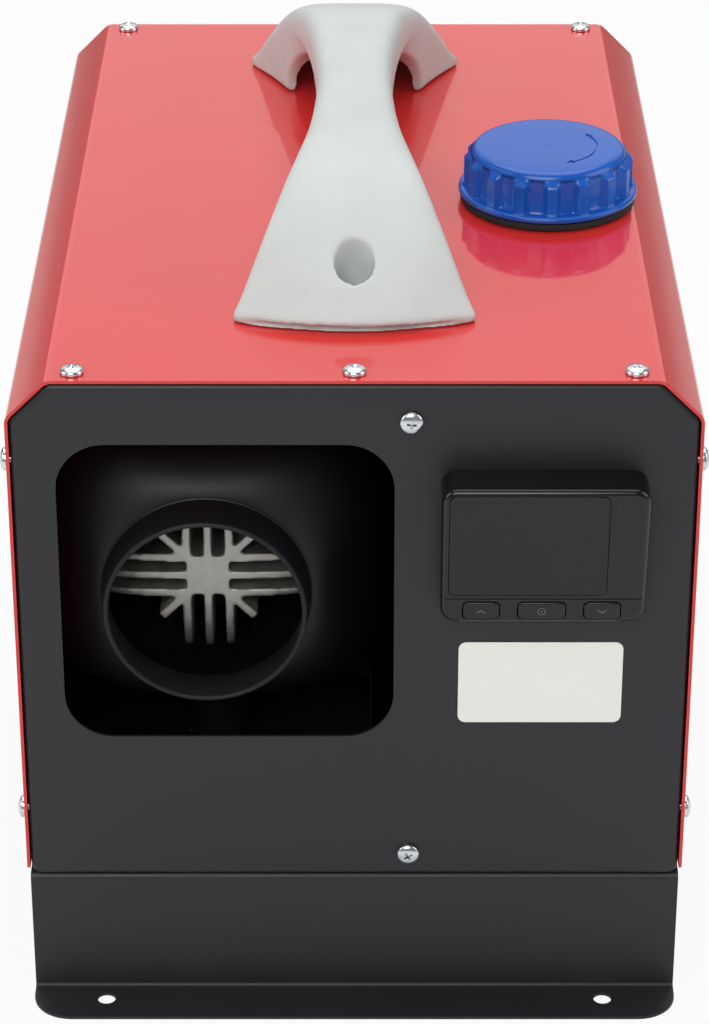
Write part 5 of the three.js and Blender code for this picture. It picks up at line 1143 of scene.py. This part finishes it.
def make_housing():
    shape = wedge(0, FACE - GAP)
    long_edges = [e for e in shape.edges
                  if abs((e.verts[0].co - e.verts[1].co).normalized().y) > 0.9]
    round_edges(shape, long_edges, HOUSING_CORNER, 8)
    front = [e for e in shape.edges
             if all(v.co.y < FACE - BOTTOM_DEPTH + 0.2 for v in e.verts) and e.calc_face_angle(0) > 0.5]
    round_edges(shape, front, HOUSING_RIM, 6)
    hollow = wedge(HOUSING_WALL, FACE + 2)
    window = rounded_slab(LCD_SIZE[0] + WINDOW_GAP, LCD_SIZE[1] + WINDOW_GAP, 2.6, 8)
    tools = [hollow, on_face(window, *LCD_PLACE, out=2)]
    for x, width in BUTTONS.values():
        well = rounded_slab(width + WELL_GAP, BUTTON_HEIGHT + WELL_GAP, 2.3, 8)
        tools.append(on_face(well, x, BUTTON_Z, out=2))
    seam = block((-CONTROLLER_WIDTH, -0.25, -SEAM_HALF), (CONTROLLER_WIDTH, 0.35, SEAM_HALF))
    tools.append(on_face(seam, 0, -LCD_SIZE[1] - SEAM_DROP))
    return carve(shape, tools)


finish_piece("controller_case", make_housing(), CONTROLLER_BLACK,
             ["controller_housing"], sharp=32, bevel=0.25)

# %% Display window
WINDOW_PROUD = 0.3
window_shape = rounded_slab(LCD_SIZE[0], LCD_SIZE[1], 2.4, 1.6)
on_face(window_shape, *LCD_PLACE, out=WINDOW_PROUD)
finish_piece("display_window", window_shape, WINDOW, ["lcd_window"], bevel=0.25)

# %% [markdown]
# Each button is a soft-edged pad that fills its well, stands a little proud and carries a small
# raised mark: an up chevron, a dot in a ring, and a down chevron.

# %% Buttons
BUTTON_PROUD = 0.6
BUTTON_BODY = 2.6
MARK_HEIGHT = 0.15
MARK_SUNK = 0.2
CHEVRON_LINE = 0.5
CHEVRON_ARM = 2.2


def chevron(down):
    """Two short bars that meet in a point."""
    bars = []
    for side in (-1, 1):
        bar = block((-CHEVRON_LINE / 2, 0, -CHEVRON_ARM / 2),
                    (CHEVRON_LINE / 2, MARK_HEIGHT + MARK_SUNK, CHEVRON_ARM / 2))
        turned(bar, math.radians(50 if down else 130) * side, "Y")
        bars.append(moved(bar, (side * 0.78, 0, 0.09 if down else -0.09)))
    return merged(bars)


def ring_mark():
    tall = MARK_HEIGHT + MARK_SUNK
    ring = spun([(1.2, 0), (1.6, 0), (1.6, tall), (1.2, tall), (1.2, 0)], "y", steps=28)
    return add_shape(ring, rod("y", 0.35, (0, tall), (0, 0, 0), 16))


def make_button(width):
    pad = rounded_slab(width, BUTTON_HEIGHT, 2, BUTTON_PROUD + BUTTON_BODY, 6)
    front = [e for e in pad.edges if all(abs(v.co.y) < 0.01 for v in e.verts)]
    round_edges(pad, front, 0.7, 3)
    return pad


for node, (x, width) in BUTTONS.items():
    pad = on_face(make_button(width), x, BUTTON_Z, out=BUTTON_PROUD)
    finish_piece(f"{node}_pad", pad, CONTROLLER_BLACK, [node], node)
    mark = ring_mark() if node == "button_middle" else chevron(node == "button_right")
    on_face(mark, x, BUTTON_Z, out=BUTTON_PROUD + MARK_HEIGHT)
    finish_piece(f"{node}_mark", mark, PRINT, (), node)
print("controller built, face leans", round(math.degrees(TILT), 1), "degrees")

# %% [markdown]
# ## The label
#
# A bare film label with rounded corners. It is thin, so its edge matters more than its face: a small
# bevel catches the light along the rim.

# %% Label
label_low, label_high = box_mm("blank_label")
label_size = label_high - label_low
label_shape = rounded_slab(label_size.x, label_size.z, 3, label_size.y)
label_centre = (label_low + label_high) / 2
moved(label_shape, (label_centre.x, label_low.y, label_centre.z))
finish_piece("film_label", label_shape, LABEL, ["blank_label"], bevel=0.12)

# %% [markdown]
# ## The outlet hood
#
# Behind the cut-out a moulded hood leads from the square heater casing to the round collar. Its
# rings change from a squared oval to a circle while they come forward on a full curve. They run
# over the outside to the collar's rounded nose, and back along the inside, so the wall is closed.

# %% Hood
hood_low, hood_high = box_mm("outlet_hood")
HOOD_HALF_WIDTH = (hood_high.x - hood_low.x) / 2
HOOD_HALF_HEIGHT = (hood_high.z - hood_low.z) / 2
HOOD_WALL = 2.5
COLLAR_RADIUS = 37.5
COLLAR_ROOT_RADIUS = 39
COLLAR_WALL = 2
COLLAR_LENGTH = 16.6
SQUARENESS = 4.5
HOOD_FULLNESS = 1.5
ROOT_BEAD = 0.5
HOOD_POINTS = 96


def square_ring(y, half_width, half_height, squareness=2.0):
    ring = []
    for angle in round_angles(HOOD_POINTS):
        c, s = math.cos(angle), math.sin(angle)
        reach = oval_reach(c / half_width, s / half_height, squareness)
        ring.append((HEATER.x + c * reach, y, HEATER.z + s * reach))
    return ring


def hood_side(wall):
    rim, back = hood_low.y, hood_high.y
    root = rim + COLLAR_LENGTH + wall * 0.6
    inner = min(wall, COLLAR_WALL)
    round_half = COLLAR_ROOT_RADIUS - inner
    rings = []
    for swing in quarter_angles(14):
        share = math.cos(swing) ** (2 / HOOD_FULLNESS)
        y = back - (back - root) * math.sin(swing) ** (2 / HOOD_FULLNESS)
        width = round_half + (HOOD_HALF_WIDTH - wall - round_half) * share
        height = round_half + (HOOD_HALF_HEIGHT - wall - round_half) * share
        rings.append(square_ring(y, width, height, 2 + (SQUARENESS - 2) * share))
    if wall == 0:
        for step, proud in ((0.2, ROOT_BEAD), (0.6, ROOT_BEAD), (0.9, 0)):
            rings.append(square_ring(root - step, round_half + proud, round_half + proud))
    nose = COLLAR_WALL / 2
    middle = COLLAR_RADIUS - nose
    side = 1 if wall == 0 else -1
    for degrees in (0, 30, 60, 85):
        turn = math.radians(degrees)
        radius = middle + side * nose * math.cos(turn)
        rings.append(square_ring(rim + nose - nose * math.sin(turn), radius, radius))
    return rings


hood_shape = loft_rings(hood_side(0) + hood_side(HOOD_WALL)[::-1], joined=True)
hood = finish_piece("collar_hood", hood_shape, HOOD_BLACK, ["outlet_hood"],
                    sharp=45)
print("hood faces:", len(hood.data.polygons))

# %% [markdown]
# ## The heat exchanger's front
#
# Through the collar the front of the casting shows: a square boss, four diagonal arms and straight
# fins on each side. A dome that is wider than it is high trims the fins and the boss, but not the
# arms. Sand-cast aluminium has no sharp inner corners, so the plain blocks are joined, and a fine
# voxel remesh with a little smoothing then melts their edges and fills their corners. Only the
# front is made so fine. The round body and the rest of the casting are one piece behind it, coloured
# much darker than the front: this is painted shade for the deep gaps between the fins.

# %% Exchanger
casting_low, casting_high = box_mm("heat_exchanger")
HUB_FACE = casting_low.y
HUB_HALF = 8.1
FIN_REACH = 50
DOME_HALF_WIDTH = 50
DOME_HALF_HEIGHT = 37
DOME_DEPTH = 28
DOME_SQUARENESS = 4
ARM_WIDTH = 3.3
ARM_REACH = 13.4
CORE_RADIUS = 29
CORE_SETBACK = 22
CORE_DOME = 7
FRONT_DEPTH = 30
FIN_ROOT = 3.5
FIN_TIP = 2.3
UPRIGHT_PITCH = 8
LEVEL_PITCH = 7.5
CAST_OVERLAP = 0.5
REAR_OVERLAP = 0.6
FRONT_BACK = HUB_FACE + FRONT_DEPTH
CAST_VOXEL = 0.6
CAST_MELT = 2


def fin(offset, start, turn):
    """A tapered fin that points up, and is then turned about the heater's axis."""
    shape = bmesh.new()
    a, b, tip = FIN_ROOT / 2, FIN_TIP / 2, FIN_REACH
    outline_face(shape, [(offset - a, HUB_FACE, start), (offset + a, HUB_FACE, start),
                         (offset + b, HUB_FACE, tip), (offset - b, HUB_FACE, tip)])
    push_out(shape, (0, FRONT_DEPTH, 0))
    return outward(turned(shape, turn, "Y"))


def dome():
    """The flat-topped dome that trims the fins, wider than it is high."""
    back = FRONT_BACK - CAST_OVERLAP
    profile = [(0, HUB_FACE - 0.01)]
    for step in range(1, 25):
        reach = step / 24
        rise = (1 - reach ** DOME_SQUARENESS) ** (1 / DOME_SQUARENESS)
        profile.append((DOME_HALF_HEIGHT * reach, HUB_FACE + DOME_DEPTH * (1 - rise)))
    shape = spun(profile + [(DOME_HALF_HEIGHT, back), (0, back)], "y", steps=96)
    bmesh.ops.scale(shape, vec=(DOME_HALF_WIDTH / DOME_HALF_HEIGHT, 1, 1), verts=shape.verts)
    return shape


def exchanger_front():
    fins = []
    for turn, pitch in ((0, UPRIGHT_PITCH), (math.pi, UPRIGHT_PITCH),
                        (math.pi / 2, LEVEL_PITCH), (-math.pi / 2, LEVEL_PITCH)):
        for k in (-1, 0, 1):
            start = max(abs(k) * pitch - ARM_WIDTH / 2, HUB_HALF / 2)
            fins.append(fin(k * pitch, start, turn))
    hub = block((-HUB_HALF, HUB_FACE, -HUB_HALF), (HUB_HALF, FRONT_BACK, HUB_HALF))
    trimmed = carve(carve(hub, fins, "UNION"), [dome()], "INTERSECT")
    end, half = HUB_HALF * math.sqrt(2) + ARM_REACH, ARM_WIDTH / 2
    back = FRONT_BACK - REAR_OVERLAP
    arms = [turned(block((-end, HUB_FACE - 0.01, -half), (end, back, half)), turn, "Y")
            for turn in (math.pi / 4, -math.pi / 4)]
    return carve(trimmed, arms, "UNION")


def exchanger_core():
    """The round body between the fins, well behind their front edges."""
    front, back = HUB_FACE + CORE_SETBACK, FRONT_BACK - CAST_OVERLAP
    profile = [(CORE_RADIUS * math.sin(swing), front + CORE_DOME * (1 - math.cos(swing)))
               for swing in quarter_angles(8)]
    return spun(profile + [(CORE_RADIUS, back), (0, back)], "y", (HEATER.x, 0, HEATER.z), 64)


def exchanger_rear():
    """The long body behind the front: the CAD casting's own mesh, merged and cut square."""
    shape = bmesh.new()
    shape.from_mesh(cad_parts["heat_exchanger"].data)
    bmesh.ops.scale(shape, vec=(1 / MM, 1 / MM, 1 / MM), verts=shape.verts)
    bmesh.ops.remove_doubles(shape, verts=shape.verts, dist=1e-3)
    keep = block((casting_low.x - 5, FRONT_BACK - REAR_OVERLAP, casting_low.z - 20),
                 casting_high + Vector((5, 5, 5)))
    return carve(shape, [keep], "INTERSECT")


front_shape = exchanger_front()
front_shape = melt(front_shape, CAST_VOXEL, CAST_MELT)
moved(front_shape, (HEATER.x, 0, HEATER.z))
casting = finish_piece("cast_exchanger", front_shape, CAST, ["heat_exchanger"],
                       sharp=60)
# The body behind the fins takes the painted-shade casting colour.
finish_piece("exchanger_body", add_shape(exchanger_core(), exchanger_rear()), SHADED_CAST)
print("casting faces:", len(casting.data.polygons))

# %% [markdown]
# ## The rear: intake grille and cable gland
#
# The fan draws room air through a moulded finger guard: a flanged frame, three rings and crossed
# bars. The cable gland is a turned body with a rounded nose, and a hexagon against the panel.

# %% Grille
grille_low, grille_high = box_mm("intake_grille")
GRILLE_RADIUS = 50
GRILLE_WALL = 2.5
GRILLE_RINGS = 3
GRILLE_BAR = 2.2


def make_grille():
    inner = INTAKE_RADIUS - GRILLE_WALL
    start, out = grille_low.y, grille_high.y
    seat = BACK + GAP
    place = (HEATER.x, 0, HEATER.z)
    frame_ring = spun([
        (inner, start), (INTAKE_RADIUS, start), (INTAKE_RADIUS, seat), (GRILLE_RADIUS, seat),
        (GRILLE_RADIUS, out - 1.2), (GRILLE_RADIUS - 0.4, out - 0.4), (GRILLE_RADIUS - 1.2, out),
        (inner + 0.5, out), (inner, out - 0.5), (inner, start),
    ], "y", place, 96)
    pitch = inner / (GRILLE_RINGS + 0.5)
    tools = []
    for i in range(GRILLE_RINGS):
        a = pitch * (i + 0.5)
        b = a + GRILLE_BAR
        tools.append(spun([(a, BACK), (b, BACK), (b, out - 0.3), (b - 0.3, out), (a + 0.3, out),
                           (a, out - 0.3), (a, BACK)], "y", place, 72))
    half = GRILLE_BAR / 2
    for turn in (0, math.pi / 2):
        bar = block((-inner - 1, BACK + 0.1, -half), (inner + 1, out - 0.1, half))
        tools.append(moved(turned(bar, turn, "Y"), place))
    return carve(frame_ring, tools, "UNION")


finish_piece("finger_guard", make_grille(), MOULDED_BLACK, ["intake_grille"],
             bevel=0.2)

# %% Gland
GLAND_START = box_mm("cable_gland")[0].y - BACK
GLAND_BORE = 3.6
GLAND_NUT = 11


def make_gland():
    centre = centre_mm("cable_gland")
    place = (centre.x, BACK, centre.z)
    body = spun([
        (GLAND_BORE, GLAND_START), (GLAND_RADIUS, GLAND_START), (GLAND_RADIUS, 10),
        (GLAND_RADIUS - 0.5, 11.2), (GLAND_BORE + 2.2, 13.4), (GLAND_BORE + 1, 14), (GLAND_BORE, 14),
        (GLAND_BORE, GLAND_START),
    ], "y", place, 48)
    nut = rod("y", GLAND_NUT, (BACK + GAP, BACK + 7), place, 6)
    hole = rod("y", GLAND_RADIUS - 0.5, (BACK - 1, BACK + 9), place, 32)
    return carve(body, [carve(nut, [hole])], "UNION")


finish_piece("gland_body", make_gland(), MOULDED_BLACK, ["cable_gland"],
             bevel=0.35)

# %% [markdown]
# ## The stubs under the floor
#
# Two steel tubes come down through the floor: the exhaust and the combustion air pipe. Each is a
# spun wall with a small chamfer at its open end. Their steel is darkened nearly to black as painted
# shade for the dark inside of the case.

# %% Stubs
STUB_WALL = 1.5
inner = STUB_RADIUS - STUB_WALL
for node in STUBS:
    low, high = box_mm(node)
    tube = spun([
        (inner, high.z), (STUB_RADIUS, high.z), (STUB_RADIUS, low.z + 0.5),
        (STUB_RADIUS - 0.5, low.z),
        (inner + 0.4, low.z), (inner, low.z + 0.4), (inner, high.z),
    ], "z", ((low.x + high.x) / 2, (low.y + high.y) / 2, 0), 48)
    # The tubes' near-black steel is painted shade for the dark inside of the case.
    finish_piece(f"{node}_tube", tube, SHADED_STEEL, [node])

# %% [markdown]
# ## The pieces inside
#
# The inner pieces keep their CAD shapes. Each gets its finish, and a weld with a small bevel so that
# its edges catch light where they show through the collar or the grille.

# %% Inner pieces
INNER = {
    # Inner sheet and casings: their own black coat, darkened further as painted shade.
    INSIDE_BLACK_AND_SHADE: "inner_partition heater_shelf heater_lower_casing heater_upper_casing",
    STEEL: "burner_tube",
    ZINC: "glow_plug blower_motor motor_shaft dosing_pump",
    MOULDED_BLACK: "warm_air_fan burner_air_fan",
    BOARD: "control_board controller_board",
    POLYMER: "fuel_tank fuel_filter",
    RUBBER: "cap_seal suction_hose filter_hose pressure_hose",
    BRASS: "tank_outlet pump_plunger",
}
for material, names in INNER.items():
    for node in names.split():
        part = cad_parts[node]
        for place in part.material_slots:
            place.material = material
        weld = part.modifiers.new("weld", "WELD")
        weld.merge_threshold = MM / 100
        edge_round(part, 0.2, 40)
print("inner pieces finished with", len(INNER), "materials")
